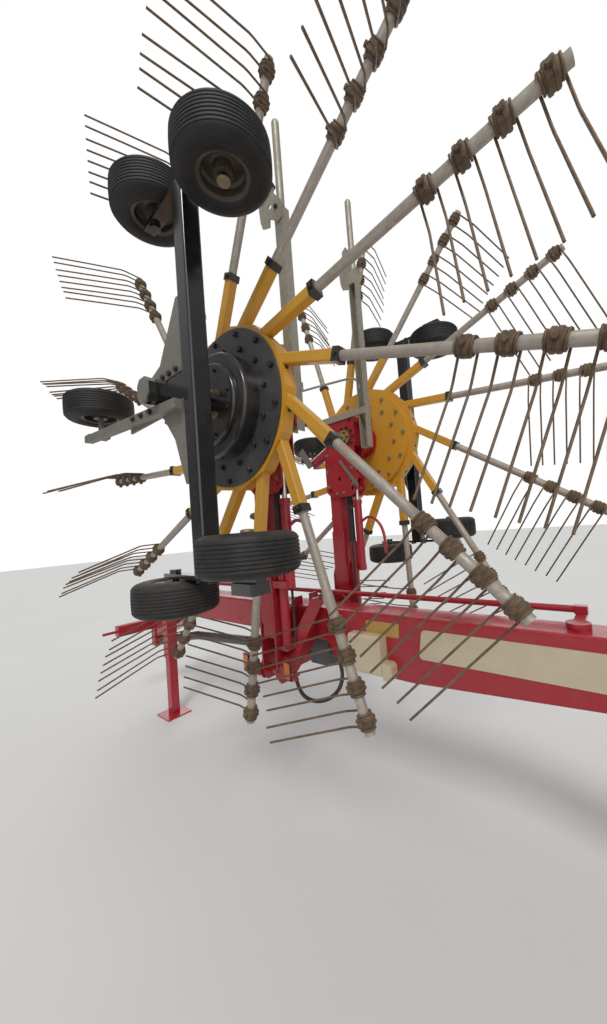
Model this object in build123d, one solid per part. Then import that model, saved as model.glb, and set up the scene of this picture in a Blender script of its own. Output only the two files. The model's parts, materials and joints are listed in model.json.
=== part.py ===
from build123d import *
import os
from math import atan2, cos, degrees, hypot, pi, radians, sin, tan

# Towed twin rotor hay rake with both rotors folded up for the road.
# Millimetres. +X forward, +Y left, +Z up, z = 0 is the ground.
# The left side is modelled; the right side is its mirror image.

os.makedirs("parts", exist_ok=True)

RUNNING = 0.1       # radial clearance of a pin or shaft in its bore
SEAT = 0.3          # gap between sliding or seated faces
SPIN_GAP = 5.0      # gap beside a turning wheel
TURN_GAP = 10.0     # gap round a part that swings

# Rotor
ROTOR_Z = 2260.0    # height of the folded rotor's axis
ROTOR_Y = 630.0     # plane of the tine arms, from the middle of the machine
ARM_COUNT = 13
ARM_OFFSET = 250.0  # arms pass the axis at this distance, so they trail
ARM_END = 1600.0    # end of the arm tube along the arm
ARM_PHASE = {"left": 0.178, "right": 0.380}
POT_RADIUS = 427.0
POT_BACK = 375.0    # radius of the pot's drum on the gear head's side
POT_INNER = -60.0   # faces of the pot across the rotor, from the arm plane
POT_STEP = -30.0
POT_OUTER = 38.0
PLATE_RADIUS = 400.0
PLATE_THICK = 12.0
DOME_BASE = 262.0
DOME_FACE = 205.0
DOME_WALL = 62.0    # height of the cover's straight wall
DOME_STEP = 88.0
DOME_DEEP = 110.0
DOME_ROUND = 16.0
SHAFT_RADIUS = 45.0
SLEEVE_SIZE = 50.0
SLEEVE_ROUND = 7.0
SLEEVE_END = 640.0
COLLAR_SIZE = 58.0
COLLAR_LONG = 34.0
TUBE_RADIUS = 21.0
RAISED_FROM = -2.00  # arms between these angles carry raised tines
RAISED_TO = 0.42
HALF_TO = 0.88       # and up to here half turned ones
HALF_TURN = 45.0

# Tines
TINE_SPOTS = (1175.0, 1300.0, 1425.0, 1550.0)
TINE_PITCH = 62.0
TINE_WIRE = 9.0
COIL_RADIUS = 33.0
COIL_LONG = 74.0
TINE_ROOT = 28.0
TINE_KNEE = (28.0, 125.0)
TINE_TIP = (-92.0, 495.0)

# Running gear of one rotor
GEAR_Y = 966.0       # wheel centres
POST_X = -200.0
POST_SIZE = 85.0
POST_ROUND = 12.0
BOGIE_HIGH = 860.0   # bogie bars above and below the rotor's axis
BOGIE_LOW = 812.0
BOGIE_THICK = 20.0
BOGIE_WIDE = 76.0    # width of a bar at the post
BOGIE_END = 50.0     # and at its ends
BOGIE_OVER = 62.0    # bar past the axle
BOGIE_REAR = -475.0
BOGIE_FRONT = 75.0
AXLE_BLOCK = (130.0, 90.0, 42.0)  # of the rear wheels
AXLE_BOSS = (25.0, 18.0)  # radius and height, of the front ones
FOOT_SIZE = 74.0     # foot of the feeler wheel's stub axle
WHEEL_RADIUS = 187.0
WHEEL_WIDTH = 155.0
RIM_RADIUS = 98.0
RIM_WALL = 10.0
RIM_DISC = 12.0
HUB_RADIUS = 38.0
STUB_RADIUS = 15.0
WASHER = 10.0        # width of a washer's ring round the stub axle
CROSS_TALL = 120.0   # bar between the post and the central block
CROSS_WIDE = 70.0
CORE_SIZE = 100.0    # central block on the rotor's shaft
CORE_CHAMFER = 24.0
CORE_END = 1095.0
CAP_THICK = 6.0
GUSSET_Y = 994.0
GUSSET_THICK = 10.0
GUSSET_REACH = 190.0  # gusset past the axis along the cross bar
GUSSET_LIP = 62.0
GUSSET_HIGH = 380.0
GUSSET_LOW = 420.0
STRIP_TALL = 40.0    # galvanised carrier of the feeler wheel
STRIP_DEEP = 42.0
STRIP_DROP = 88.0    # its middle below the axis at the post
STRIP_RISE = 84.0    # and its rise up to its end
FEELER_X = 905.0
FEELER_Z = 190.0

# Swing arm and telescopic arm
ARM_X = 125.0
ARM_Y = 360.0
PIVOT_Z = 800.0
PIVOT_RADIUS = 25.0
ARM_SIZE = 110.0
ARM_WALL = 8.0
ARM_FOOT = 1080.0
ARM_TOP = 1580.0
ARM_ROUND = 10.0
CHEEK = 12.0
CHEEK_BELOW = 55.0   # cheek below the pivot
CHEEK_TOP = 1260.0
TUBE_FOOT = 1000.0
HEAD_RADIUS = 115.0
HEAD_INNER = 318.3   # inner face of the gear head
HEAD_BOX = 440.0     # and the plane where its round housing starts
HEAD_REAR = -85.0
HEAD_FRONT = 190.0
HEAD_BELOW = 70.0    # box below and above the rotor's axis
HEAD_ABOVE = 152.0
HEAD_PLATE_Z = 1830.0
HEAD_CHAMFER = 45.0
BOLT_HOLE = 13.0
MOTOR_RADIUS = 38.0
MOTOR_END = (350.0, 2125.0)
SHAFT_X = 25.0
SHAFT_TUBE = 27.0
SHAFT_CORE = 20.0
SHAFT_FOOT = 950.0
SHAFT_SPLIT = 1500.0
WIDTH_X = -40.0
WIDTH_RADIUS = 28.0
WIDTH_ROD = 16.0
WIDTH_FOOT = 1290.0
WIDTH_HEAD = 1800.0
WIDTH_EYE = 1960.0
WIDTH_PIN = 12.0
LIFT_X = 265.0
LIFT_RADIUS = 32.0
LIFT_ROD = 18.0
LIFT_PIN = 14.0
LIFT_BARREL = (20.0, 270.0)  # barrel's ends from the foot pin
LIFT_PISTON = 45.0
EYE_RADIUS = 28.0
EYE_HALF = 20.0
LIFT_FOOT = (110.0, 745.0)
LIFT_EYE = (265.0, 1110.0)
LIFT_HALF = 38.0     # half width of the foot eye between its plates
LIFT_PLATE = 14.0
LIFT_GAP = 2.0

# Toothed wheel that sets the pitch of the tines
TEETH = 28
TOOTH_TIP = 57.0
TOOTH_ROOT = 48.0
TOOTH_THICK = 9.0
SET_HUB = 26.0

# Guard over the gear head
GUARD_X = -170.0
GUARD_SIZE = 60.0
GUARD_WALL = 6.0
GUARD_FOOT = 2160.0
GUARD_SPLIT = 3400.0
GUARD_TOP = 3980.0
GUARD_TUBE = 22.0
GUARD_PLATE = 8.0
BAR_Z = (2395.0, 2440.0)
BAR_FRONT = 205.0

# Frame
BEAM_HALF = 100.0
BEAM_TOP = 1120.0
BEAM_BOTTOM = 915.0  # front part
BEAM_DEEP = 775.0    # behind the arm brackets
BEAM_REAR_Z = 840.0
BEAM_REAR_X = -1500.0
BEAM_STEP_X = -60.0
BEAM_ROUND = 14.0
KNEE_X = 1650.0
NOSE_BACK = 70.0     # nose of the beam behind the hitch pin
NOSE_TOP = 885.0
NOSE_FOOT = 640.0
EAR_THICK = 25.0
LUG = 16.0
LUG_CLEAR = 3.0
LUG_REACH = 75.0     # lug past the pivot
LUG_RISE = 50.0      # foot of the lug above the beam
FLANGE_WIDE = 85.0
FLANGE_THICK = 10.0
LAMP_PLATE = 12.0
LAMP_LONG = 90.0     # plate of the rear lamp, across the machine's side
LAMP_LAP = 30.0      # and how much of it lies beside the flange
LAMP_FOOT = 5.0      # below the pivot
LAMP_TALL = 70.0
LAMP_RUN = (82.0, 134.0)  # upright of the front lamp's plate, from the lug
LAMP_STRIP = (-25.0, 0.0)  # strip below it, from the pivot
LAMP_HIGH = 85.0     # and the upright's top
AXLE_X = -2200.0
AXLE_TOP = 430.0
AXLE_SIZE = 120.0
TYRE_RADIUS = 390.0
TYRE_WIDTH = 280.0
TYRE_Y = 1050.0
TYRE_RIM = 200.0
KINGPIN_Y = 830.0
KINGPIN_RADIUS = 25.0
KINGPIN_BOSS = 50.0
FORK = 15.0
FORK_OUT = 75.0
SPINDLE = 30.0
STEER_ARM = 165.0
TIE_RADIUS = 12.0
REAR_BAR_Z = 640.0
REAR_BAR_HALF = 840.0
REAR_LAMP = (30.0, 230.0, 110.0)
HITCH_X = 2350.0
HITCH_PIN = 30.0
HITCH_BOSS = 60.0
BOSS_FOOT = 668.0
BOSS_TOP = 857.0
LINK_BAR_X = 110.0   # link bar ahead of the hitch pin
LINK_BAR = (80.0, 100.0)
LINK_HALF = 410.0
LINK_RADIUS = 14.1
LINK_LONG = 125.0
LINK_Z = 740.0
PTO_Z = 560.0
PTO_RADIUS = 17.5
PTO_LONG = 90.0
PTO_HOUSING = 60.0
JACK_X = 1850.0
JACK_Y = 170.0
JACK_TUBE = 90.0
JACK_WALL = 8.0
JACK_FOOT = 220.0
JACK_PLATE = 12.0
JACK_TOP = 1180.0
JACK_BOTTOM = 520.0
STEER_Y = -150.0
STEER_LEVER = 70.0   # lever ahead of the hitch pin
LEVER_TOP = 810.0
STEER_POST_X = -1350.0
STEER_POST = 45.0
STEER_RISE = 45.0    # steering rod above the beam
STEER_ROD = 16.0
STEER_EYE = 20.0
GEARBOX_X = (-50.0, 105.0)
GEARBOX_HALF = 90.0
LINE_Z = 815.0
LINE_FRONT_Z = 700.0
LINE_RADIUS = 38.0
SIGN_X = (-1560.0, -670.0)
SIGN_Z = (912.0, 1062.0)
SIGN_THICK = 3.0
VALVE_X = (-480.0, -270.0)
VALVE_Z = (800.0, 1010.0)
VALVE_DEEP = 70.0
VALVE_ROUND = 22.0
HOSE_RADIUS = 11.0
GLAND_RADIUS = 15.0
GLAND_LONG = 34.0
GLAND_SINK = 12.0
HOSE_LOOP = [(-150, 122, 836), (-196, 150, 800), (-228, 190, 748), (-218, 232, 688),
             (-146, 266, 640), (-58, 290, 632), (4, 306, 672), (20, 312, 740)]


def block(x0, x1, y0, y1, z0, z1):
    """Box between two corners."""
    centre = Pos((x0 + x1) / 2, (y0 + y1) / 2, (z0 + z1) / 2)
    return centre * Box(abs(x1 - x0), abs(y1 - y0), abs(z1 - z0))


def rod(start, end, radius):
    """Round bar between two points."""
    along = Vector(*end) - Vector(*start)
    plane = Plane(origin=start, z_dir=along)
    return extrude(plane * Circle(radius), along.length)


def post(x, y, size, round_, z0, z1):
    """Upright square bar with rounded edges."""
    return Pos(x, y, z0) * extrude(RectangleRounded(size, size, round_), z1 - z0)


def outline(points, plane, thick):
    """Flat plate: a closed outline on a plane, extruded along its normal."""
    return extrude(plane * make_face(Polyline(points, close=True)), thick)


def side_plate(points, y0, y1):
    """Plate with an (x, z) outline from y0 to y1."""
    return outline(points, Plane(origin=(0, y1, 0), x_dir=(1, 0, 0), z_dir=(0, -1, 0)), y1 - y0)


def cross_plate(points, x0, x1):
    """Plate with a (y, z) outline from x0 to x1."""
    return outline(points, Plane(origin=(x0, 0, 0), x_dir=(0, 1, 0), z_dir=(1, 0, 0)), x1 - x0)


def flat_plate(points, z0, z1):
    """Plate with an (x, y) outline from z0 to z1."""
    return outline(points, Plane(origin=(0, 0, z0)), z1 - z0)


def turned(points):
    """Solid of revolution about Z from an (r, z) outline."""
    return revolve(Plane.XZ * make_face(Polyline(points, close=True)), Axis.Z)


def on_side(shape, side):
    """The left side as drawn, or its mirror image on the right."""
    if side == "right":
        return mirror(shape, about=Plane.XZ)
    return shape


def write(name, side, *shapes):
    """Write one sub-part as separate solids in one file."""
    solids = [solid for shape in shapes for solid in on_side(shape, side).solids()]
    node = name if side == "" else f"{name}_{side}"
    export_step(solids[0] if len(solids) == 1 else Compound(solids), f"parts/{node}.step")


# Rotor pieces are drawn with their axis on Z, then laid along Y at the rotor's centre.
ROTOR_PLANE = Plane(origin=(0, ROTOR_Y, ROTOR_Z), x_dir=(-1, 0, 0), z_dir=(0, 1, 0))


def arm_angles(side):
    """Angle of each tine arm, from the rear upwards."""
    return [ARM_PHASE[side] + 2 * pi * index / ARM_COUNT for index in range(ARM_COUNT)]


def arm_place(angle):
    """Place of an arm: x along the arm, y across it, z away from the middle."""
    return ROTOR_PLANE.location * Rot(0, 0, degrees(angle))


def tine_turn(angle):
    """Degrees that an arm is turned back: raised, half turned or working."""
    folded = (angle + pi) % (2 * pi) - pi
    if RAISED_FROM < folded < RAISED_TO:
        return 90.0
    if RAISED_TO <= folded < HALF_TO:
        return HALF_TURN
    return 0.0


def rotor_hub(side):
    """Yellow pot with one flat for each arm, its round drum and the square arm sleeves."""
    pot = extrude(RegularPolygon(POT_RADIUS, ARM_COUNT), POT_OUTER - POT_STEP)
    hub = ROTOR_PLANE.location * Pos(0, 0, POT_STEP) * pot
    hub += ROTOR_PLANE.location * Pos(0, 0, POT_INNER) * extrude(Circle(POT_BACK), POT_STEP - POT_INNER)
    sleeve = extrude(RectangleRounded(SLEEVE_SIZE, SLEEVE_SIZE, SLEEVE_ROUND), SLEEVE_END - ARM_OFFSET)
    sleeve = Pos(ARM_OFFSET, ARM_OFFSET, 0) * Rot(0, 90, 0) * sleeve
    for angle in arm_angles(side):
        hub += arm_place(angle) * sleeve
    bore = extrude(Circle(SHAFT_RADIUS + RUNNING), POT_OUTER - POT_INNER)
    return hub - ROTOR_PLANE.location * Pos(0, 0, POT_INNER) * bore


def rotor_plate():
    """Grey bolted plate on the underside of the pot."""
    ring = extrude(Circle(PLATE_RADIUS) - Circle(DOME_FACE), PLATE_THICK)
    return ROTOR_PLANE.location * Pos(0, 0, POT_OUTER) * ring


def rotor_dome():
    """Black bearing cover in the middle of the underside, with rounded shoulders."""
    foot = POT_OUTER + PLATE_THICK
    bore = SHAFT_RADIUS + RUNNING
    face = make_face(Polyline([(bore, foot), (DOME_BASE, foot), (DOME_BASE, foot + DOME_STEP),
                               (DOME_FACE, foot + DOME_STEP), (DOME_FACE, foot + DOME_DEEP),
                               (bore, foot + DOME_DEEP)], close=True))
    corners = [v for v in face.vertices() if v.X > DOME_FACE - 1 and v.Y > foot + DOME_WALL]
    rounded = [v for v in corners if v.X > DOME_BASE - 1 or v.Y > foot + DOME_DEEP - 1]
    face = fillet(rounded, DOME_ROUND)
    return ROTOR_PLANE.location * revolve(Plane.XZ * face, Axis.Z)


def arm_collars(side):
    """Black clamping collar at the end of each sleeve."""
    collar = Pos(SLEEVE_END + COLLAR_LONG / 2, ARM_OFFSET, 0) * Box(
        COLLAR_LONG, COLLAR_SIZE, COLLAR_SIZE)
    return [arm_place(angle) * collar for angle in arm_angles(side)]


def tine_arms(side):
    """Galvanised arm tubes."""
    start = SLEEVE_END + COLLAR_LONG
    tube = Pos(start, ARM_OFFSET, 0) * Rot(0, 90, 0) * extrude(Circle(TUBE_RADIUS), ARM_END - start)
    return [arm_place(angle) * tube for angle in arm_angles(side)]


def tine_strip(spot):
    """One bent tine, as a strip of square wire across the arm."""
    half = TINE_WIRE / 2
    lean = atan2(TINE_TIP[0] - TINE_KNEE[0], TINE_TIP[1] - TINE_KNEE[1])
    shift = half * cos(lean)
    drop = half * sin(lean)
    points = [(-TINE_ROOT - half, -TINE_WIRE), (-TINE_ROOT + half, -TINE_WIRE),
              (-TINE_KNEE[0] + half, TINE_KNEE[1]),
              (-TINE_TIP[0] + shift, TINE_TIP[1] + drop),
              (-TINE_TIP[0] - shift, TINE_TIP[1] - drop),
              (-TINE_KNEE[0] - half, TINE_KNEE[1])]
    return cross_plate(points, spot - half, spot + half)


def double_tine():
    """Two tines and the coil pack that is wound on the arm tube between them."""
    sleeve = RegularPolygon(COIL_RADIUS, 6) - RegularPolygon(
        TUBE_RADIUS + SEAT, 6, major_radius=False)
    pack = Pos(-COIL_LONG / 2, 0, 0) * Rot(0, 90, 0) * extrude(sleeve, COIL_LONG)
    return pack + tine_strip(-TINE_PITCH / 2) + tine_strip(TINE_PITCH / 2)


def tines(side):
    """All double tines of a rotor, each arm turned as the cam holds it."""
    pair = double_tine()
    placed = []
    for angle in arm_angles(side):
        for spot in TINE_SPOTS:
            seat = Pos(spot, ARM_OFFSET, 0) * Rot(tine_turn(angle), 0, 0)
            placed.append(arm_place(angle) * seat * pair)
    return placed


def both_ways(half_profile):
    """Close an (r, z) profile with its mirror image across z = 0."""
    return half_profile + [(r, -z) for r, z in reversed(half_profile)]


def small_wheel():
    """Running wheel with its axle on Z: tyre and rim as two solids."""
    half = WHEEL_WIDTH / 2
    # Radius and height of the tyre's section from its bead to the middle of the tread.
    tyre = turned(both_ways([(RIM_RADIUS, half - 16), (RIM_RADIUS + 26, half - 1),
                             (WHEEL_RADIUS - 40, half), (WHEEL_RADIUS - 16, half - 11),
                             (WHEEL_RADIUS - 4, half - 32), (WHEEL_RADIUS, half - 54)]))
    bore = STUB_RADIUS + RUNNING
    well = RIM_RADIUS - RIM_WALL
    rim = turned(both_ways([(bore, half - 8), (HUB_RADIUS, half - 8), (HUB_RADIUS, RIM_DISC / 2),
                            (well, RIM_DISC / 2), (well, half - 16), (RIM_RADIUS, half - 16)]))
    return tyre, rim


def wheel_spots():
    """Name, x and height of the five running wheels of a rotor, and their axle's direction."""
    offset = (BOGIE_THICK + WHEEL_WIDTH) / 2 + SPIN_GAP
    return [("upper_rear", BOGIE_REAR, BOGIE_HIGH - offset, -1),
            ("upper_front", BOGIE_FRONT, BOGIE_HIGH + offset, 1),
            ("lower_rear", BOGIE_REAR, -BOGIE_LOW + offset, 1),
            ("lower_front", BOGIE_FRONT, -BOGIE_LOW - offset, -1),
            ("feeler", FEELER_X, FEELER_Z, 1)]


def stub_axle(x, z, way, root):
    """Stub axle through a wheel's hub with a washer at its end."""
    tip = z + way * (WHEEL_WIDTH / 2 + 2)
    axle = rod((x, GEAR_Y, ROTOR_Z + root), (x, GEAR_Y, ROTOR_Z + tip), STUB_RADIUS)
    hub_face = z + way * (WHEEL_WIDTH / 2 - 4)
    cap = rod((x, GEAR_Y, ROTOR_Z + hub_face), (x, GEAR_Y, ROTOR_Z + tip), STUB_RADIUS + WASHER)
    return axle + cap


def bogie_bar(height):
    """Tapered bogie bar at a height from the rotor's axis."""
    end = BOGIE_END / 2
    wide = BOGIE_WIDE / 2
    points = [(BOGIE_REAR - BOGIE_OVER, GEAR_Y - end), (POST_X - POST_SIZE / 2, GEAR_Y - wide),
              (POST_X + POST_SIZE / 2, GEAR_Y - wide), (BOGIE_FRONT + BOGIE_OVER, GEAR_Y - end),
              (BOGIE_FRONT + BOGIE_OVER, GEAR_Y + end), (POST_X + POST_SIZE / 2, GEAR_Y + wide),
              (POST_X - POST_SIZE / 2, GEAR_Y + wide), (BOGIE_REAR - BOGIE_OVER, GEAR_Y + end)]
    return flat_plate(points, ROTOR_Z + height - BOGIE_THICK / 2, ROTOR_Z + height + BOGIE_THICK / 2)


def axle_block(x, z, way):
    """Clamp on the far side of a bogie bar: a block at the rear, a round boss at the front."""
    long, wide, tall = AXLE_BLOCK
    section = RectangleRounded(long, wide, POST_ROUND)
    if x > POST_X:
        radius, tall = AXLE_BOSS
        section = Circle(radius)
    face = z - way * (WHEEL_WIDTH / 2 + SPIN_GAP + BOGIE_THICK)
    return Pos(x, GEAR_Y, ROTOR_Z + min(face, face - way * tall)) * extrude(section, tall)


def core_outline():
    """(x, z) outline of the central block with its corners cut off."""
    half = CORE_SIZE / 2
    cut = half - CORE_CHAMFER
    corners = [(-half, -cut), (-cut, -half), (cut, -half), (half, -cut),
               (half, cut), (cut, half), (-cut, half), (-half, cut)]
    return [(x, ROTOR_Z + z) for x, z in corners]


def running_axle():
    """Black frame of the running gear: shaft, central block, cross bar, post and bogie bars."""
    frame = post(POST_X, GEAR_Y, POST_SIZE, POST_ROUND, ROTOR_Z - BOGIE_LOW, ROTOR_Z + BOGIE_HIGH)
    frame += block(POST_X, 0, GEAR_Y - CROSS_WIDE / 2, GEAR_Y + CROSS_WIDE / 2,
                   ROTOR_Z - CROSS_TALL / 2, ROTOR_Z + CROSS_TALL / 2)
    frame += side_plate(core_outline(), GEAR_Y - CORE_SIZE / 2, CORE_END)
    frame += rod((0, ROTOR_Y + POT_INNER - 3, ROTOR_Z), (0, GEAR_Y, ROTOR_Z), SHAFT_RADIUS)
    for height in (BOGIE_HIGH, -BOGIE_LOW):
        frame += bogie_bar(height)
    for name, x, z, way in wheel_spots():
        if name != "feeler":
            frame += axle_block(x, z, way)
            frame += stub_axle(x, z, way, z - way * (WHEEL_WIDTH / 2 + SPIN_GAP + 2))
    return frame


def gusset(way):
    """Galvanised gusset between the post and the cross bar, above (1) or below (-1)."""
    edge = POST_X + POST_SIZE / 2
    lip = CROSS_TALL / 2
    if way > 0:
        points = [(edge, lip), (GUSSET_REACH, lip), (GUSSET_REACH, lip + GUSSET_LIP / 2),
                  (edge + GUSSET_REACH, lip + GUSSET_LIP + 20), (edge + 20, GUSSET_HIGH), (edge, GUSSET_HIGH)]
    else:
        points = [(edge, -lip), (GUSSET_REACH * 2, -lip), (GUSSET_REACH * 2, -lip - GUSSET_LIP / 2),
                  (edge + GUSSET_REACH, -lip - GUSSET_LIP / 2), (edge + 90, -GUSSET_LOW * 0.52),
                  (edge + 20, -GUSSET_LOW), (edge, -GUSSET_LOW)]
    plate = side_plate([(x, ROTOR_Z + z) for x, z in points], GUSSET_Y, GUSSET_Y + GUSSET_THICK)
    for index in range(4):
        x = edge + 45 + 58 * index
        z = ROTOR_Z + way * (lip + 18)
        plate -= rod((x, GUSSET_Y - 1, z), (x, GUSSET_Y + GUSSET_THICK + 1, z), BOLT_HOLE / 2)
    return plate


def feeler_carrier():
    """Galvanised bar that carries the feeler wheel, with its upright stub axle."""
    start = POST_X + POST_SIZE / 2
    end = FEELER_X + FOOT_SIZE / 2
    low = ROTOR_Z - STRIP_DROP - STRIP_TALL / 2
    y0 = GUSSET_Y + GUSSET_THICK
    points = [(start, low), (end, low + STRIP_RISE), (end, low + STRIP_RISE + STRIP_TALL),
              (start, low + STRIP_TALL)]
    bar = side_plate(points, y0, y0 + STRIP_DEEP)
    top = low + STRIP_RISE + STRIP_TALL
    foot = block(FEELER_X - FOOT_SIZE / 2, end, GEAR_Y - FOOT_SIZE / 2, y0 + STRIP_DEEP, top - 14, top)
    return bar + foot + stub_axle(FEELER_X, FEELER_Z, 1, top - 10 - ROTOR_Z)


def core_cap():
    """Galvanised cap on the outer end of the central block."""
    return side_plate(core_outline(), CORE_END, CORE_END + CAP_THICK)


def latch_strap():
    """Galvanised strap across the gear head's lower plate."""
    y1 = ARM_Y - tube_half() - CHEEK - SEAT
    strap = [(38, 2104), (56, 2090), (-88, 1888), (-106, 1902)]
    return side_plate(strap, y1 - GUARD_PLATE, y1)


def motor_strap():
    """Galvanised strap on the setting motor in front of the gear head."""
    x, z = MOTOR_END
    y1 = HEAD_INNER - SEAT
    strap = [(x - 26, z - 20), (x + 26, z - 34), (x + 118, z + 112), (x + 74, z + 138)]
    return side_plate(strap, y1 - GUARD_PLATE, y1)


def tube_half():
    """Half size of the telescopic arm's inner tube."""
    return ARM_SIZE / 2 - ARM_WALL - SEAT


def swing_arm():
    """Red lower arm: cheeks on the pivot, square box and the width cylinder's barrel."""
    half = ARM_SIZE / 2
    box = post(ARM_X, ARM_Y, ARM_SIZE, ARM_ROUND, ARM_FOOT, ARM_TOP)
    cheek = [(ARM_Y - half, PIVOT_Z - 20), (ARM_Y - 28, PIVOT_Z - CHEEK_BELOW),
             (ARM_Y + 28, PIVOT_Z - CHEEK_BELOW), (ARM_Y + half, PIVOT_Z - 20),
             (ARM_Y + half, CHEEK_TOP), (ARM_Y + 20, CHEEK_TOP + 90), (ARM_Y - 20, CHEEK_TOP + 90),
             (ARM_Y - half, CHEEK_TOP)]
    for x0 in (ARM_X - half - CHEEK, ARM_X + half):
        box += cross_plate(cheek, x0, x0 + CHEEK)
    box += lift_lug()
    box += width_foot()
    box += block(SHAFT_X - 38, ARM_X - half, ARM_Y - 35, ARM_Y + 35, SHAFT_FOOT - 15, SHAFT_FOOT)
    inner = half - ARM_WALL
    box -= block(ARM_X - inner, ARM_X + inner, ARM_Y - inner, ARM_Y + inner, ARM_FOOT, ARM_TOP)
    return box - rod((ARM_X - half - CHEEK, ARM_Y, PIVOT_Z), (ARM_X + half + CHEEK, ARM_Y, PIVOT_Z),
                     PIVOT_RADIUS + RUNNING)


def lift_lug():
    """Boss on the arm that the lift cylinder's rod eye lies against."""
    face = ARM_X + ARM_SIZE / 2
    y, z = LIFT_EYE
    plate = cross_plate([(y - 25, z - 25), (ARM_Y, z - 60), (ARM_Y, z + 60), (y - 25, z + 25)],
                        face, face + CHEEK)
    return plate + rod((face, y, z), (LIFT_X - EYE_HALF - SEAT, y, z), 25)


def width_foot():
    """Barrel of the width cylinder beside the arm, with its foot bracket."""
    barrel = rod((WIDTH_X, ARM_Y, WIDTH_FOOT), (WIDTH_X, ARM_Y, WIDTH_HEAD), WIDTH_RADIUS)
    barrel += rod((WIDTH_X, ARM_Y, WIDTH_HEAD - 30), (WIDTH_X, ARM_Y, WIDTH_HEAD), WIDTH_RADIUS + 5)
    barrel -= rod((WIDTH_X, ARM_Y, WIDTH_FOOT + 40), (WIDTH_X, ARM_Y, WIDTH_HEAD), WIDTH_ROD + RUNNING)
    y0 = ARM_Y + WIDTH_RADIUS + 4
    lug = block(WIDTH_X - 8, ARM_X - ARM_SIZE / 2, y0, y0 + CHEEK, WIDTH_FOOT, WIDTH_FOOT + 40)
    foot = block(WIDTH_X - 8, WIDTH_X + 8, ARM_Y, y0 + CHEEK, WIDTH_FOOT, WIDTH_FOOT + 40)
    return barrel + lug + foot


def head_plate(y0):
    """Bevelled plate between the inner tube and the gear head."""
    top = ROTOR_Z - HEAD_BELOW
    points = [(HEAD_REAR, top), (HEAD_REAR, HEAD_PLATE_Z + HEAD_CHAMFER),
              (HEAD_REAR + HEAD_CHAMFER, HEAD_PLATE_Z), (HEAD_FRONT - HEAD_CHAMFER, HEAD_PLATE_Z),
              (HEAD_FRONT, HEAD_PLATE_Z + HEAD_CHAMFER), (HEAD_FRONT, top)]
    plate = side_plate(points, y0, y0 + CHEEK)
    for x, z in ((HEAD_REAR + 40, 55), (HEAD_FRONT - 40, 55), (ARM_X - 60, 135)):
        plate -= rod((x, y0 - 1, HEAD_PLATE_Z + z), (x, y0 + CHEEK + 1, HEAD_PLATE_Z + z), BOLT_HOLE)
    return plate


def arm_tube():
    """Red inner tube with the rotor's gear head on its end."""
    half = tube_half()
    part = block(ARM_X - half, ARM_X + half, ARM_Y - half, ARM_Y + half, TUBE_FOOT,
                 ROTOR_Z - HEAD_BELOW + 10)
    head = block(HEAD_REAR, HEAD_FRONT, HEAD_INNER, HEAD_BOX, ROTOR_Z - HEAD_BELOW, ROTOR_Z + HEAD_ABOVE)
    part += fillet(head.edges().filter_by(Axis.Y), 14)
    part += rod((0, HEAD_BOX - 5, ROTOR_Z), (0, ROTOR_Y + POT_INNER - 3, ROTOR_Z), HEAD_RADIUS)
    for y0 in (ARM_Y - half - CHEEK, ARM_Y + half):
        part += head_plate(y0)
    part += rod((WIDTH_X, ARM_Y - half - CHEEK, WIDTH_EYE + 20),
                (WIDTH_X, ARM_Y + half + CHEEK + 10, WIDTH_EYE + 20), WIDTH_PIN)
    part += block(WIDTH_X - 20, WIDTH_X + 20, ARM_Y - half, ARM_Y + half, WIDTH_EYE, WIDTH_EYE + 40)
    x, z = MOTOR_END
    part += rod((HEAD_FRONT - 20, HEAD_INNER + MOTOR_RADIUS, ROTOR_Z - 50),
                (x, HEAD_INNER + MOTOR_RADIUS, z), MOTOR_RADIUS)
    mount_y = HEAD_INNER + GUARD_SIZE
    return part + block(GUARD_X - GUARD_SIZE / 2, HEAD_REAR + 1, mount_y, mount_y + CHEEK,
                        ROTOR_Z - HEAD_BELOW, ROTOR_Z + HEAD_RADIUS)


def width_rod():
    """Chromed rod of the width cylinder."""
    return rod((WIDTH_X, ARM_Y, WIDTH_FOOT + 50), (WIDTH_X, ARM_Y, WIDTH_EYE), WIDTH_ROD)


def shaft_tube():
    """Outer tube of the drive shaft guard along the arm."""
    tube = rod((SHAFT_X, ARM_Y, SHAFT_FOOT), (SHAFT_X, ARM_Y, SHAFT_SPLIT), SHAFT_TUBE)
    return tube - rod((SHAFT_X, ARM_Y, SHAFT_FOOT + 40), (SHAFT_X, ARM_Y, SHAFT_SPLIT), SHAFT_CORE + SEAT)


def shaft_rod():
    """Inner half of the drive shaft, which draws out with the arm."""
    return rod((SHAFT_X, ARM_Y, SHAFT_FOOT + 150), (SHAFT_X, ARM_Y, ROTOR_Z - HEAD_BELOW), SHAFT_CORE)


def setting_wheel():
    """Toothed wheel on the gear head's inner end."""
    y1 = HEAD_INNER
    step = 2 * pi / TEETH
    points = []
    for index in range(TEETH):
        # Share of the tooth's pitch and radius of the four points of one tooth.
        for share, radius in ((0.0, TOOTH_ROOT), (0.28, TOOTH_ROOT), (0.5, TOOTH_TIP), (0.72, TOOTH_TIP)):
            angle = (index + share) * step
            points.append((radius * cos(angle), ROTOR_Z + radius * sin(angle)))
    wheel = side_plate(points, y1 - 2 * TOOTH_THICK, y1 - TOOTH_THICK)
    wheel += rod((0, y1 - 2 * TOOTH_THICK - 8, ROTOR_Z), (0, y1, ROTOR_Z), SET_HUB)
    return wheel


def lift_direction():
    """Unit direction of the lift cylinder and its length between pins."""
    dy = LIFT_EYE[0] - LIFT_FOOT[0]
    dz = LIFT_EYE[1] - LIFT_FOOT[1]
    length = hypot(dy, dz)
    return dy / length, dz / length, length


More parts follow.
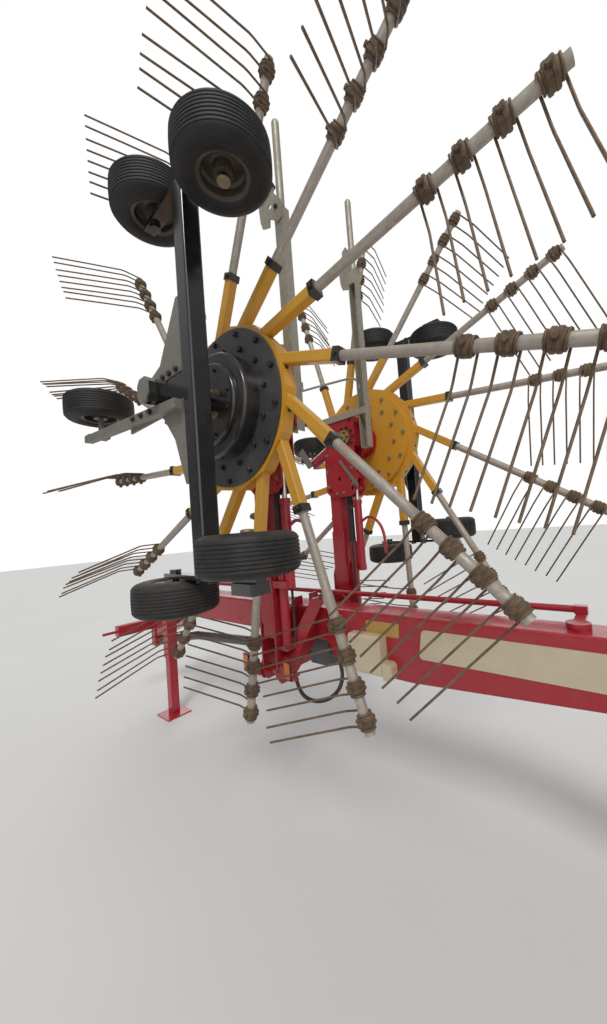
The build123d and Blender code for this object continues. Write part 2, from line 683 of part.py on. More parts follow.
def along_lift(distance):
    """Point on the lift cylinder's line, from its foot pin."""
    dy, dz, length = lift_direction()
    return (LIFT_X, LIFT_FOOT[0] + dy * distance, LIFT_FOOT[1] + dz * distance)


def lift_barrel():
    """Barrel of the lift cylinder with its foot eye."""
    foot = along_lift(0)
    start, end = LIFT_BARREL
    barrel = rod(along_lift(start), along_lift(end), LIFT_RADIUS)
    ends = ((LIFT_X - LIFT_HALF, foot[1], foot[2]), (LIFT_X + LIFT_HALF, foot[1], foot[2]))
    barrel += rod(*ends, EYE_RADIUS)
    barrel -= rod(*ends, LIFT_PIN + RUNNING)
    return barrel - rod(along_lift(LIFT_PISTON - 5), along_lift(end), LIFT_ROD + RUNNING)


def lift_rod():
    """Rod of the lift cylinder with its eye."""
    length = lift_direction()[2]
    eye = along_lift(length)
    piston = rod(along_lift(LIFT_PISTON), along_lift(length - 10), LIFT_ROD)
    return piston + rod((LIFT_X - EYE_HALF, eye[1], eye[2]), (LIFT_X + EYE_HALF, eye[1], eye[2]), EYE_RADIUS)


def latch_plate():
    """Galvanised latch plate with its hook between the two halves of the guard."""
    # (x, z) from the guard's axis and the split, round the outline from its top.
    points = [(71, 284), (11, 182), (21, 134), (-23, 75), (-58, 11), (-37, -34), (-2, -51), (61, 3),
              (66, -43), (125, -19), (139, 26), (147, 124), (113, 178), (104, 264)]
    y0 = guard_inner() + GUARD_SIZE
    plate = side_plate([(GUARD_X + x, GUARD_SPLIT + z) for x, z in points], y0, y0 + GUARD_PLATE)
    for x, z in ((24, 175), (103, 137), (54, 71), (5, 40)):
        spot = (GUARD_X + x, GUARD_SPLIT + z)
        plate -= rod((spot[0], y0 - 1, spot[1]), (spot[0], y0 + GUARD_PLATE + 1, spot[1]), BOLT_HOLE)
    return plate


def guard_inner():
    """Inner plane of the guard, flush with the gear head's inner face."""
    return HEAD_INNER - SEAT


def guard_post():
    """Galvanised guard: channel beside the gear head, latch plate, upper tube and bar."""
    half = GUARD_SIZE / 2
    y0 = guard_inner()
    inner = half - GUARD_WALL
    channel = block(GUARD_X - half, GUARD_X + half, y0, y0 + GUARD_SIZE - SEAT, GUARD_FOOT, GUARD_SPLIT + 40)
    channel -= block(GUARD_X - inner, GUARD_X + inner, y0, y0 + GUARD_SIZE - GUARD_WALL,
                     GUARD_FOOT, GUARD_SPLIT - 60)
    channel += latch_plate()
    middle = y0 + half
    channel += rod((GUARD_X, middle, GUARD_SPLIT + 30), (GUARD_X, middle, GUARD_TOP - GUARD_TUBE), GUARD_TUBE)
    channel += Pos(GUARD_X, middle, GUARD_TOP - GUARD_TUBE) * Sphere(GUARD_TUBE)
    return channel + block(GUARD_X - half, BAR_FRONT, y0 - CHEEK, y0, *BAR_Z)


def main_beam():
    """Red backbone: deep middle, drawbar nose, gooseneck, arm brackets and jack tube."""
    nose_x = HITCH_X - NOSE_BACK
    points = [(KNEE_X, BEAM_TOP), (nose_x, NOSE_TOP), (nose_x, NOSE_FOOT), (nose_x - 80, NOSE_FOOT + 20),
              (KNEE_X - 50, BEAM_BOTTOM), (BEAM_STEP_X, BEAM_BOTTOM), (BEAM_STEP_X - 90, BEAM_DEEP),
              (BEAM_STEP_X - 560, BEAM_DEEP), (BEAM_REAR_X, BEAM_REAR_Z), (AXLE_X + 80, AXLE_TOP + 40),
              (AXLE_X + 80, AXLE_TOP), (AXLE_X - 80, AXLE_TOP), (AXLE_X - 80, AXLE_TOP + 170),
              (BEAM_REAR_X - 80, BEAM_TOP)]
    beam = side_plate(points, -BEAM_HALF, BEAM_HALF)
    sides = [e for e in beam.edges() if abs(abs(e.center().Y) - BEAM_HALF) < 0.1 and e.length > 300]
    beam = fillet([e for e in sides if e.center().Z > BEAM_DEEP - 1], BEAM_ROUND)
    for z0 in (NOSE_FOOT, NOSE_TOP - EAR_THICK):
        beam += block(nose_x - 10, HITCH_X, -HITCH_BOSS, HITCH_BOSS, z0, z0 + EAR_THICK)
        beam += rod((HITCH_X, 0, z0), (HITCH_X, 0, z0 + EAR_THICK), HITCH_BOSS)
    beam += rod((HITCH_X, 0, NOSE_FOOT), (HITCH_X, 0, NOSE_TOP), HITCH_PIN)
    for side in ("left", "right"):
        beam += on_side(arm_bracket(), side)
    return beam + jack_tube()


def lift_plates():
    """Two plates below the beam that hold both lift cylinders, and the foot pins between them."""
    pieces = []
    edge = LIFT_FOOT[0] + 32
    low = LIFT_FOOT[1] - 30
    face = LIFT_HALF + LIFT_GAP
    for x0 in (LIFT_X - face - LIFT_PLATE, LIFT_X + face):
        plate = cross_plate([(-edge, low), (edge, low), (edge, low + 70), (BEAM_HALF - 20, BEAM_BOTTOM),
                             (20 - BEAM_HALF, BEAM_BOTTOM), (-edge, low + 70)], x0, x0 + LIFT_PLATE)
        z = line_height(x0)
        pieces.append(plate - rod((x0 - 1, 0, z), (x0 + LIFT_PLATE + 1, 0, z), LINE_RADIUS + TURN_GAP))
    for way in (-1, 1):
        y, z = way * LIFT_FOOT[0], LIFT_FOOT[1]
        pieces.append(rod((LIFT_X - face, y, z), (LIFT_X + face, y, z), LIFT_PIN))
    return pieces


def arm_bracket():
    """Two lugs with the pin that one swing arm turns on, the sloping flange and lamp plates."""
    outer = ARM_SIZE / 2 + CHEEK + LUG_CLEAR
    reach = ARM_Y + LUG_REACH
    top = BEAM_TOP + LUG_RISE
    points = [(BEAM_HALF, BEAM_BOTTOM), (ARM_Y - 45, PIVOT_Z - 50), (ARM_Y + 45, PIVOT_Z - 50),
              (reach, PIVOT_Z - 10), (reach, PIVOT_Z + 20), (BEAM_HALF, top), (BEAM_HALF - 60, top),
              (BEAM_HALF - 60, BEAM_TOP - BEAM_ROUND - 5), (BEAM_HALF - 2, BEAM_TOP - BEAM_ROUND - 5)]
    bracket = rod((ARM_X - outer - LUG, ARM_Y, PIVOT_Z), (ARM_X + outer + LUG, ARM_Y, PIVOT_Z), PIVOT_RADIUS)
    for x0 in (ARM_X - outer - LUG, ARM_X + outer):
        bracket += cross_plate(points, x0, x0 + LUG)
    rear = ARM_X - outer - LUG
    flange = [(reach, PIVOT_Z + 20), (BEAM_HALF, top), (BEAM_HALF, top - 1.4 * FLANGE_THICK),
              (reach, PIVOT_Z + 20 - 1.4 * FLANGE_THICK)]
    bracket += cross_plate(flange, rear - FLANGE_WIDE, rear)
    low = PIVOT_Z - LAMP_FOOT
    start = rear - FLANGE_WIDE - LAMP_LAP
    bracket += block(start, start + LAMP_LONG, reach - LAMP_PLATE, reach, low, low + LAMP_TALL)
    return bracket + front_lamp_plate(ARM_X + outer + LUG, reach)


def front_lamp_plate(start, reach):
    """Stepped plate ahead of the front lug, clear of the lift cylinder's rod when the arm is down."""
    run0, run1 = [start + x for x in LAMP_RUN]
    low, strip = [PIVOT_Z + z for z in LAMP_STRIP]
    points = [(start - LUG / 2, low), (run1, low), (run1, PIVOT_Z + LAMP_HIGH), (run0, PIVOT_Z + LAMP_HIGH),
              (run0, strip), (start - LUG / 2, strip)]
    return side_plate(points, reach - LAMP_PLATE, reach)


def jack_tube():
    """Square tube that the parking jack's leg slides in."""
    half = JACK_TUBE / 2
    inner = half - JACK_WALL
    tube = block(JACK_X - half, JACK_X + half, JACK_Y - half, JACK_Y + half, JACK_BOTTOM, JACK_TOP)
    tube -= block(JACK_X - inner, JACK_X + inner, JACK_Y - inner, JACK_Y + inner,
                  JACK_BOTTOM, JACK_TOP - JACK_WALL)
    return tube + block(JACK_X - 40, JACK_X + 40, BEAM_HALF - 5, JACK_Y - half, BEAM_BOTTOM - 30, BEAM_BOTTOM + 60)


def jack_leg():
    """Leg of the parking jack with its foot plate."""
    half = JACK_TUBE / 2 - JACK_WALL - SEAT
    foot = JACK_FOOT / 2
    leg = block(JACK_X - half, JACK_X + half, JACK_Y - half, JACK_Y + half, JACK_PLATE, JACK_BOTTOM + 280)
    return leg + block(JACK_X - foot, JACK_X + foot, JACK_Y - foot, JACK_Y + foot, 0, JACK_PLATE)


def rear_axle():
    """Red cross tube with the king pin bosses, and the lamp bar above it."""
    half = AXLE_SIZE / 2
    low = AXLE_TOP - AXLE_SIZE
    axle = block(AXLE_X - half, AXLE_X + half, -KINGPIN_Y, KINGPIN_Y, low, AXLE_TOP)
    for way in (-1, 1):
        y = way * KINGPIN_Y
        axle += rod((AXLE_X, y, low + 20), (AXLE_X, y, AXLE_TOP + 20), KINGPIN_BOSS)
        axle -= block(AXLE_X - half, AXLE_X + half, y - way * 65, y + way * 60, low - 10, low + 20)
        axle -= rod((AXLE_X, y, low - 10), (AXLE_X, y, AXLE_TOP + 30), KINGPIN_RADIUS + RUNNING)
    return axle


def lamp_bar():
    """Red bar with the two rear lamp housings on the rear end of the beam."""
    back = AXLE_X - 80
    deep, wide, tall = REAR_LAMP
    bar = block(back - 30, back, -REAR_BAR_HALF, REAR_BAR_HALF, AXLE_TOP + 120, AXLE_TOP + 160)
    for way in (-1, 1):
        y = way * REAR_BAR_HALF
        bar += block(back - 30 - deep, back - 10, y - way * wide, y, AXLE_TOP + 85, AXLE_TOP + 85 + tall)
    return bar


def knuckle():
    """Steered knuckle: king pin, fork plates, spindle and steering lever."""
    y = KINGPIN_Y
    low = AXLE_TOP - AXLE_SIZE + 2
    high = AXLE_TOP + 20 + LUG_CLEAR
    fork = rod((AXLE_X, y, low), (AXLE_X, y, high + FORK), KINGPIN_RADIUS)
    for z0 in (low, high):
        fork += block(AXLE_X - 40, AXLE_X + 40, y - 40, y + FORK_OUT, z0, z0 + FORK)
    fork += block(AXLE_X - 40, AXLE_X + 40, y + FORK_OUT - 20, y + FORK_OUT, low, high + FORK)
    fork += rod((AXLE_X, y + FORK_OUT - 5, TYRE_RADIUS), (AXLE_X, TYRE_Y + 92, TYRE_RADIUS), SPINDLE)
    return fork + block(AXLE_X - STEER_ARM - 25, AXLE_X - 30, y - 20, y + 20, high, high + FORK)


def tie_rod():
    """Tie rod whose eyes lie on the steering levers."""
    face = AXLE_TOP + 20 + LUG_CLEAR + FORK + SEAT
    x = AXLE_X - STEER_ARM
    z = face + TIE_RADIUS + 4
    bar = rod((x, -KINGPIN_Y, z), (x, KINGPIN_Y, z), TIE_RADIUS)
    for way in (-1, 1):
        y = way * KINGPIN_Y
        bar += block(x - 20, x + 20, y - 20, y + 20, face, z + 8)
    return bar


def transport_tyre():
    """Tyre of a transport wheel with its axle on Z."""
    half = TYRE_WIDTH / 2
    # Radius and height of the section from its bead to the middle of the tread.
    return turned(both_ways([(TYRE_RIM, half - 28), (TYRE_RIM + 34, half - 4), (TYRE_RIM + 90, half),
                             (TYRE_RADIUS - 42, half - 6), (TYRE_RADIUS - 10, half - 26),
                             (TYRE_RADIUS, half - 62)]))


def transport_rim():
    """Rim and hub of a transport wheel with its axle on Z."""
    half = TYRE_WIDTH / 2
    bore = SPINDLE + RUNNING
    well = TYRE_RIM - 15
    return turned([(bore, -60), (60, -60), (60, 10), (well, 10), (well, 28 - half), (TYRE_RIM, 28 - half),
                   (TYRE_RIM, half - 28), (well, half - 28), (well, 22), (60, 22), (60, 85), (bore, 85)])


def headstock():
    """Swivelling headstock with its lower link pins and the power shaft's stub."""
    deep, tall = LINK_BAR
    bar_back = HITCH_X + LINK_BAR_X - deep / 2
    bar_front = bar_back + deep
    part = rod((HITCH_X, 0, BOSS_FOOT), (HITCH_X, 0, BOSS_TOP), HITCH_BOSS)
    part += block(HITCH_X + HITCH_BOSS - 10, bar_back + 20, -HITCH_BOSS, HITCH_BOSS, LINK_Z - tall / 2, LINK_Z + tall / 2)
    part -= rod((HITCH_X, 0, BOSS_FOOT), (HITCH_X, 0, BOSS_TOP), HITCH_PIN + RUNNING)
    part += block(bar_back, bar_front, -LINK_HALF, LINK_HALF, LINK_Z - tall / 2, LINK_Z + tall / 2)
    for way in (-1, 1):
        part += rod((HITCH_X + LINK_BAR_X, way * (LINK_HALF - 5), LINK_Z),
                    (HITCH_X + LINK_BAR_X, way * (LINK_HALF + LINK_LONG), LINK_Z), LINK_RADIUS)
    part += block(bar_back, bar_front, -PTO_HOUSING, PTO_HOUSING, PTO_Z - PTO_HOUSING, LINK_Z)
    part += rod((bar_front - 10, 0, PTO_Z), (bar_front + PTO_LONG, 0, PTO_Z), PTO_RADIUS)
    lever = HITCH_X + STEER_LEVER
    return part + block(lever - STEER_EYE, lever + STEER_EYE, STEER_Y - 30, STEER_Y + 30, LINK_Z, LEVER_TOP)


def line_height(x):
    """Height of the driveline below the beam."""
    start = GEARBOX_X[1]
    return LINE_Z + (LINE_FRONT_Z - LINE_Z) * (x - start) / (KNEE_X - start)


def power_shaft():
    """Driveline below the beam with the middle gearbox."""
    box = block(*GEARBOX_X, -GEARBOX_HALF, GEARBOX_HALF, LINE_Z - 60, BEAM_BOTTOM)
    line = rod((GEARBOX_X[1] - 10, 0, LINE_Z), (KNEE_X, 0, LINE_FRONT_Z), LINE_RADIUS)
    line += rod((KNEE_X, 0, LINE_FRONT_Z), (HITCH_X, 0, PTO_Z), LINE_RADIUS)
    line += Pos(KNEE_X, 0, LINE_FRONT_Z) * Sphere(LINE_RADIUS + 2)
    return box + line + Pos(HITCH_X, 0, PTO_Z) * Sphere(48)


def steer_rod():
    """Long steering rod beside the top of the beam, bent down to the headstock's lever."""
    high = BEAM_TOP + STEER_RISE
    low = LEVER_TOP + SEAT + STEER_ROD
    eye = HITCH_X + STEER_LEVER
    bar = rod((STEER_POST_X, STEER_Y, high), (KNEE_X, STEER_Y, high), STEER_ROD)
    bar += rod((KNEE_X, STEER_Y, high), (eye - 60, STEER_Y, low), STEER_ROD)
    bar += Pos(KNEE_X, STEER_Y, high) * Sphere(STEER_ROD)
    for x0, x1, z, tall in ((eye - 65, eye + 25, low, STEER_ROD), (STEER_POST_X - 25, STEER_POST_X + 25, high, 18)):
        bar += block(x0, x1, STEER_Y - STEER_EYE, STEER_Y + STEER_EYE, z - tall, z + tall)
    return bar


def steer_post():
    """Vertical steering post on the rear of the beam."""
    top = BEAM_TOP + STEER_RISE - 18 - SEAT
    column = rod((STEER_POST_X, 0, BEAM_TOP + SEAT), (STEER_POST_X, 0, top), STEER_POST)
    return column + block(STEER_POST_X - 20, STEER_POST_X + 20, STEER_Y - 20, 0, top - 15, top)


def sign_panels():
    """Blank cream panels on both sides of the beam."""
    return [block(*SIGN_X, way * BEAM_HALF, way * (BEAM_HALF + SIGN_THICK), *SIGN_Z) for way in (-1, 1)]


def valve_box():
    """Cream valve cover on the side of the beam, with a smaller cover behind it."""
    cover = block(*VALVE_X, BEAM_HALF, BEAM_HALF + VALVE_DEEP, *VALVE_Z)
    outer = [e for e in cover.edges().filter_by(Axis.X) if e.center().Y > BEAM_HALF + 1]
    cover = fillet(outer, VALVE_ROUND)
    small = block(VALVE_X[0] - 55, VALVE_X[0], BEAM_HALF, BEAM_HALF + VALVE_DEEP - 10,
                  VALVE_Z[0] - 15, VALVE_Z[0] + 75)
    ends = [e for e in small.edges().filter_by(Axis.Y) if e.center().X < VALVE_X[0] - 50]
    return cover + fillet(ends, VALVE_ROUND)


def cord_radii(points):
    """Largest tangent arc at each inner point of a cord's route."""
    radii = []
    for before, here, after in zip(points, points[1:], points[2:]):
        run_in = Vector(*here) - Vector(*before)
        run_out = Vector(*after) - Vector(*here)
        turn = radians(run_in.get_angle(run_out))
        radii.append(0.45 * min(run_in.length, run_out.length) / tan(turn / 2))
    return radii


def hose():
    """Hydraulic hose that loops below the beam to the foot of the arm."""
    radii = cord_radii(HOSE_LOOP)
    print("hose radii", [round(r) for r in radii])
    path = FilletPolyline(*HOSE_LOOP, radius=radii)
    start = Plane(origin=HOSE_LOOP[0], z_dir=Vector(*HOSE_LOOP[1]) - Vector(*HOSE_LOOP[0]))
    tube = sweep(start * Circle(HOSE_RADIUS), path=path)
    print("hose length", round(path.length), "volume share",
          round(tube.volume / (pi * HOSE_RADIUS ** 2 * path.length), 4))
    return tube


def hose_glands():
    """Fittings at both ends of the hose, on the beam's side and on the rear lug."""
    first = Vector(*HOSE_LOOP[0])
    last = Vector(*HOSE_LOOP[-1])
    into = (first - Vector(*HOSE_LOOP[1])).normalized()
    out = (last - Vector(*HOSE_LOOP[-2])).normalized()
    start = rod(first, first + into * ((first.Y - BEAM_HALF + GLAND_SINK) / -into.Y), GLAND_RADIUS)
    end = rod(last, last + out * GLAND_LONG, GLAND_RADIUS)
    lug = ARM_X - ARM_SIZE / 2 - CHEEK - LUG_CLEAR - LUG
    low = last.Z + GLAND_LONG - 8
    clip = block(last.X - GLAND_RADIUS, lug + 1, last.Y - GLAND_RADIUS, last.Y + GLAND_RADIUS + 8, low, low + 12)
    return start, end + clip


def rolling(solid, x, y, z):
    """Place a wheel drawn on Z with its axle along Y."""
    return Pos(x, y, z) * Rot(-90, 0, 0) * solid


for side in ("left", "right"):
    write("swing_arm", side, swing_arm())
    write("arm_tube", side, arm_tube())
    write("width_rod", side, width_rod())
    write("shaft_tube", side, shaft_tube())
    write("shaft_rod", side, shaft_rod())
    write("setting_wheel", side, setting_wheel())
    write("lift_barrel", side, lift_barrel())
    write("lift_rod", side, lift_rod())
    write("guard", side, guard_post())
    write("rotor_hub", side, rotor_hub(side))
    write("rotor_plate", side, rotor_plate())
    write("rotor_dome", side, rotor_dome(), *arm_collars(side))
    write("tine_arms", side, *tine_arms(side))
    write("tines", side, *tines(side))
    write("running_axle", side, running_axle())
    write("gear_plates", side, gusset(1), gusset(-1), feeler_carrier(), core_cap(), latch_strap(), motor_strap())
    tyre, rim = small_wheel()
    for name, x, z, way in wheel_spots():
        place = Pos(x, GEAR_Y, ROTOR_Z + z)
        write(f"wheel_{name}", side, place * tyre, place * rim)
    write("knuckle", side, knuckle())
    write("transport_tyre", side, rolling(transport_tyre(), AXLE_X, TYRE_Y, TYRE_RADIUS))
    write("transport_rim", side, rolling(transport_rim(), AXLE_X, TYRE_Y, TYRE_RADIUS))
    write("hose", side, hose())

glands = [on_side(piece, side) for side in ("left", "right") for piece in hose_glands()]
backbone = main_beam()
for piece in glands:
    backbone += piece
write("main_beam", "", backbone, *lift_plates())
write("rear_axle", "", rear_axle(), lamp_bar())
write("tie_rod", "", tie_rod())
write("headstock", "", headstock())
write("power_shaft", "", power_shaft())
write("steer_rod", "", steer_rod())
write("steer_post", "", steer_post())
write("jack_leg", "", jack_leg())
write("sign_panels", "", *sign_panels())
write("valve_box", "", valve_box())
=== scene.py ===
"""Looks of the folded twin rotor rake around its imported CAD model."""

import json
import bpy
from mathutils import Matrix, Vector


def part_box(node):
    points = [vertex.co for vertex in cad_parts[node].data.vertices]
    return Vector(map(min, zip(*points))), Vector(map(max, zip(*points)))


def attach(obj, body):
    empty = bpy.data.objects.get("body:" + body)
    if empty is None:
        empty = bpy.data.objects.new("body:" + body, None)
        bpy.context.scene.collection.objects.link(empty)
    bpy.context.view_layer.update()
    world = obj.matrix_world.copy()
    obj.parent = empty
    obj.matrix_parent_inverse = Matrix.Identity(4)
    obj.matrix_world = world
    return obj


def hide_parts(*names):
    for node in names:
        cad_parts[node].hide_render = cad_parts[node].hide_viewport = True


bl_info = {
    "name": "Folded Twin Rotor Rake",
    "version": (1, 0, 0),
    "blender": (4, 5, 0),
    "location": "View3D > Sidebar > Rake",
    "description": "Dresses the CAD model of a towed hay rake with both rotors folded up",
    "category": "Object",
}

from math import cos, pi, radians, sin

import bpy
import numpy as np
from bpy.props import FloatProperty, FloatVectorProperty, IntProperty, PointerProperty
from mathutils import Matrix

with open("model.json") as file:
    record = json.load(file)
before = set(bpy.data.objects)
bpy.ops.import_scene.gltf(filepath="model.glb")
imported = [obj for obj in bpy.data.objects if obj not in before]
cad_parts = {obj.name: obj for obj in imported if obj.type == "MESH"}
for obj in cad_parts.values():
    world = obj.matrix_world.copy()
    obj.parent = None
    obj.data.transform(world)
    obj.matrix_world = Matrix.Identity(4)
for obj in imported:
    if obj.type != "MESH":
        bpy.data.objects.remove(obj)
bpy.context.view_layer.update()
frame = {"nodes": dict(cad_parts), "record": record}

SIDES = ("left", "right")

# Running wheels, with the side of each one that its stub axle ends on.
RUNNERS = {"upper_rear": -1.0, "upper_front": 1.0, "lower_rear": 1.0, "lower_front": -1.0,
           "feeler": 1.0}
RIM_SHARE = 0.524

# Rotor layout, as in the part's source, in metres and radians.
ROTOR_Y = 0.630
ROTOR_Z = 2.260
ARM_COUNT = 13
ARM_OFFSET = 0.250
ARM_PHASE = {"left": 0.178, "right": 0.380}
RAISED_FROM = -2.00
RAISED_TO = 0.42
HALF_TO = 0.88
TINE_SPOTS = (1.175, 1.300, 1.425, 1.550)
TINE_PITCH = 0.062
TINE_PLAY = 0.022
TINE_ROOT = 0.028
TINE_KNEE = (-0.028, 0.125)
TINE_TIP = (0.092, 0.495)
POT_BACK = 0.570
POT_FLAT = 0.4146
COVER_RISE = 0.110
COLLAR_REACH = 0.657
COLLAR_TOP = 0.029
ROTOR_AT = np.array([0.0, ROTOR_Y, ROTOR_Z])

# Bolt circles of the rotor plate and of the pot's back, as (radius, turn from the arms), and
# the radius of the bearing cover's.
PLATE_RINGS = ((0.372, 0.13), (0.300, -0.05))
POT_RINGS = ((0.345, 0.13), (0.270, -0.05))
COVER_RING = 0.165

# Middles, axes and faces of the other pieces that the looks stand on, as in the part's source.
GEAR_Y = 0.966
ARM_Y = 0.360
PIVOT_Z = 0.800
HEAD_FACE = 0.3183
PLATE_FACES = (0.3013, 0.4187)
CHANNEL_FACES = (0.386, 0.378)
LUG_FACES = (0.039, 0.211)
AXLE_X = -2.200
BEAM_SIDE = 0.100
SIGN_X = (-1.560, -0.670)
SIGN_Z = (0.912, 1.062)
LENS_FACE = -2.340

# The finishes' names start so, because the frame brings flat materials named after the slots.
FINISH = "rake_"

# Finish of the nodes that look unlike the rest of their slot, by how their names start.
OWN_FINISH = {"tine_arms": "dusty_tube", "running_axle": "gloss_black", "gear_plates": "old_zinc"}

# Middle and foot of the side reflectors' lenses: (x, z) on the rear and the front lamp plate.
REFLECTORS = ((-0.045, 0.800), (0.319, 0.784))

# Left arm's black pipe to the width cylinder.
PIPE_ROUTE = ((0.000, 0.345, 0.948), (0.000, 0.318, 0.985), (0.000, 0.315, 1.040),
              (0.000, 0.315, 1.250), (0.000, 0.315, 1.500), (0.000, 0.315, 1.700),
              (-0.008, 0.322, 1.742), (-0.026, 0.345, 1.760))

# Left arm's red guide hoop, and the galvanised latch bar that leaves the guard's channel and
# runs forward: each in one plane, as (x, z) pairs.
HOOP_ROUTE = ((-0.060, 1.640), (-0.120, 1.668), (-0.175, 1.652), (-0.218, 1.606),
              (-0.240, 1.545), (-0.246, 1.480), (-0.246, 1.410))
LATCH_ROUTE = ((-0.143, 2.590), (-0.136, 2.636), (-0.108, 2.672), (-0.050, 2.692),
               (0.060, 2.706), (0.260, 2.728), (0.470, 2.748))
LATCH_Y = 0.348

# The world's strengths as it lights the object and as glossy surfaces see it, and where they
# see it brighter: a direction, the cosines to it where that starts and is full, and the gain.
WORLD_TINT = (0.95, 0.97, 1.0, 1)
WORLD_LIGHT = 0.52
WORLD_GLOW = 0.16
BRIGHTER = (((-0.77, 0.63, 0.0), 0.55, 0.95, 1.2), ((0.45, -0.89, 0.0), 0.70, 0.95, 1.4),
            ((0.0, 0.0, 1.0), 0.20, 0.90, 0.4))

# The suns: name, energy, width in degrees and direction of the light.
SUNS = (("key", 1.35, 18.0, (0.45, -0.55, -0.80)), ("back", 0.6, 30.0, (-0.70, 0.45, -0.60)))
FLOOR_HALF = 40.0

# The hydraulic hose's route, as in the part's source, and its size.
HOSE_ROUTE = ((-0.150, 0.122, 0.836), (-0.196, 0.150, 0.800), (-0.228, 0.190, 0.748),
              (-0.218, 0.232, 0.688), (-0.146, 0.266, 0.640), (-0.058, 0.290, 0.632),
              (0.004, 0.306, 0.672), (0.020, 0.312, 0.740))
HOSE_WIDE = 0.022

# The photograph's camera: place, yaw, pitch and roll, focal length and shift in pixels of the
# photograph's rows, and the sensor's height in millimetres.
CAMERA_AT = (-1.5376, 1.7699, 1.6118)
CAMERA_TURN = (radians(-50.58), radians(2.20), radians(-4.38))
CAMERA_FOCUS = 356.31
CAMERA_SHIFT = (28.02, 1.98)
PHOTO_ROWS = 1024
SENSOR = 36.0

# Directions that pieces of the left side face.
UP = (0.0, 0.0, 1.0)
OUTWARD = (0.0, 1.0, 0.0)
INWARD = (0.0, -1.0, 0.0)

# Edges sharper than so many degrees stay hard, on large pieces and on bolts.
SHARP = 40.0
BOLT_SHARP = 30.0


def linear(red, green, blue):
    """A screen colour of 0 to 255 in Blender's linear values: each share to the power 2.2."""
    return tuple((v / 255) ** 2.2 for v in (red, green, blue))


def size_row(name, description, default, low, high):
    """A length that the panel shows."""
    return FloatProperty(name=name, description=description, default=default, min=low, max=high,
                         unit="LENGTH")


def colour_row(name, description, *levels):
    """A colour that the panel shows, from its screen levels."""
    return FloatVectorProperty(name=name, description=description, subtype="COLOR",
                               default=linear(*levels), min=0, max=1)


class RakeSizes(bpy.types.PropertyGroup):
    """Sizes of the pieces that the looks add."""

    wire: size_row("Tine wire", "Thickness of the tine wire", 0.0092, 0.004, 0.02)
    coil_turns: IntProperty(name="Coil turns", description="Turns of each tine's coil",
                            default=3, min=1, max=8)
    groove: size_row("Groove depth", "Depth of the running tyres' grooves", 0.0034, 0.0, 0.02)
    lug: size_row("Lug depth", "Depth of the road tyres' tread", 0.011, 0.0, 0.03)
    bolt: size_row("Bolt size", "Width across the flats of the rotor bolts", 0.025, 0.005, 0.06)


class RakeColours(bpy.types.PropertyGroup):
    """Colours of the rake's finishes."""

    red: colour_row("Red", "Frame paint", 168, 22, 44)
    yellow: colour_row("Yellow", "Rotor paint", 212, 154, 46)
    grey: colour_row("Grey", "Rotor plate paint", 58, 62, 68)
    black: colour_row("Black", "Running gear paint", 34, 36, 40)
    zinc: colour_row("Zinc", "Galvanised steel", 180, 175, 160)
    cream: colour_row("Cream", "Panels and valve box", 208, 194, 164)
    rubber: colour_row("Rubber", "Tyres", 24, 27, 32)
    rust: colour_row("Rust", "Tine wire", 122, 99, 78)
    dust: colour_row("Dust", "Dried field dust", 146, 126, 100)


# Meshes


def grid_quads(rows, columns, wrap_rows):
    """Corners of every cell of a grid of points, its rows' ends joined, and its last row joined
    to the first where it wraps."""
    r = np.arange(rows if wrap_rows else rows - 1)[:, None]
    c = np.arange(columns)[None, :]
    a, b = (r * columns + k for k in (c, (c + 1) % columns))
    d, e = ((r + 1) % rows * columns + k for k in (c, (c + 1) % columns))
    return np.stack([a, b, e, d], -1).reshape(-1, 4)


def shape(points, quads, triangles=None):
    """One closed surface of points, four-sided faces and three-sided faces. The faces are turned
    over if the volume that they enclose comes out negative, so that they look outwards."""
    points, quads = np.asarray(points, float).reshape(-1, 3), np.asarray(quads)
    triangles = np.zeros((0, 3), int) if triangles is None else np.asarray(triangles)
    corners = np.concatenate([quads[:, [0, 1, 2]], quads[:, [0, 2, 3]], triangles]).astype(int)
    a, b, c = (points[corners[:, i]] for i in range(3))
    if np.einsum("ij,ij->i", a, np.cross(b, c)).sum() < 0:
        return points, quads[:, ::-1], triangles[:, ::-1]
    return points, quads, triangles


def stacked(rings, first, last):
    """Closed surface through a stack of rings, each end a fan to its own middle point."""
    rings = np.asarray(rings, float)
    count, sides = rings.shape[:2]
    i = np.arange(sides)
    after = (i + 1) % sides
    top, middle = (count - 1) * sides, np.full(sides, count * sides)
    ends = np.concatenate([np.stack([middle, after, i], -1),
                           np.stack([top + i, top + after, middle + 1], -1)])
    return shape(np.concatenate([rings.reshape(-1, 3), [first], [last]]),
                 grid_quads(count, sides, False), ends)


def joined(shapes):
    """Several surfaces as one, with their faces renumbered."""
    starts = np.cumsum([0] + [len(s[0]) for s in shapes[:-1]])
    points = np.concatenate([s[0] for s in shapes])
    quads = np.concatenate([s[1] + k for s, k in zip(shapes, starts)])
    triangles = np.concatenate([s[2] + k for s, k in zip(shapes, starts)])
    return points, quads, triangles


def copies(one, places):
    """One surface put at each of n places, given as 3 x 4 matrices."""
    points, quads, triangles = one
    moved = np.einsum("nij,pj->npi", places[:, :, :3], points) + places[:, None, :, 3]
    step = np.arange(len(places))[:, None, None] * len(points)
    return shape(moved.reshape(-1, 3), (quads[None] + step).reshape(-1, 4),
                 (triangles[None] + step).reshape(-1, 3))


def on_side(one, side):
    """The left side's surface, or its mirror image for the right."""
    points, quads, triangles = one
    return one if side == "left" else (points * [1, -1, 1], quads[:, ::-1], triangles[:, ::-1])


def unit(vectors):
    """One vector or several, each at length 1."""
    return vectors / np.linalg.norm(vectors, axis=-1, keepdims=True)


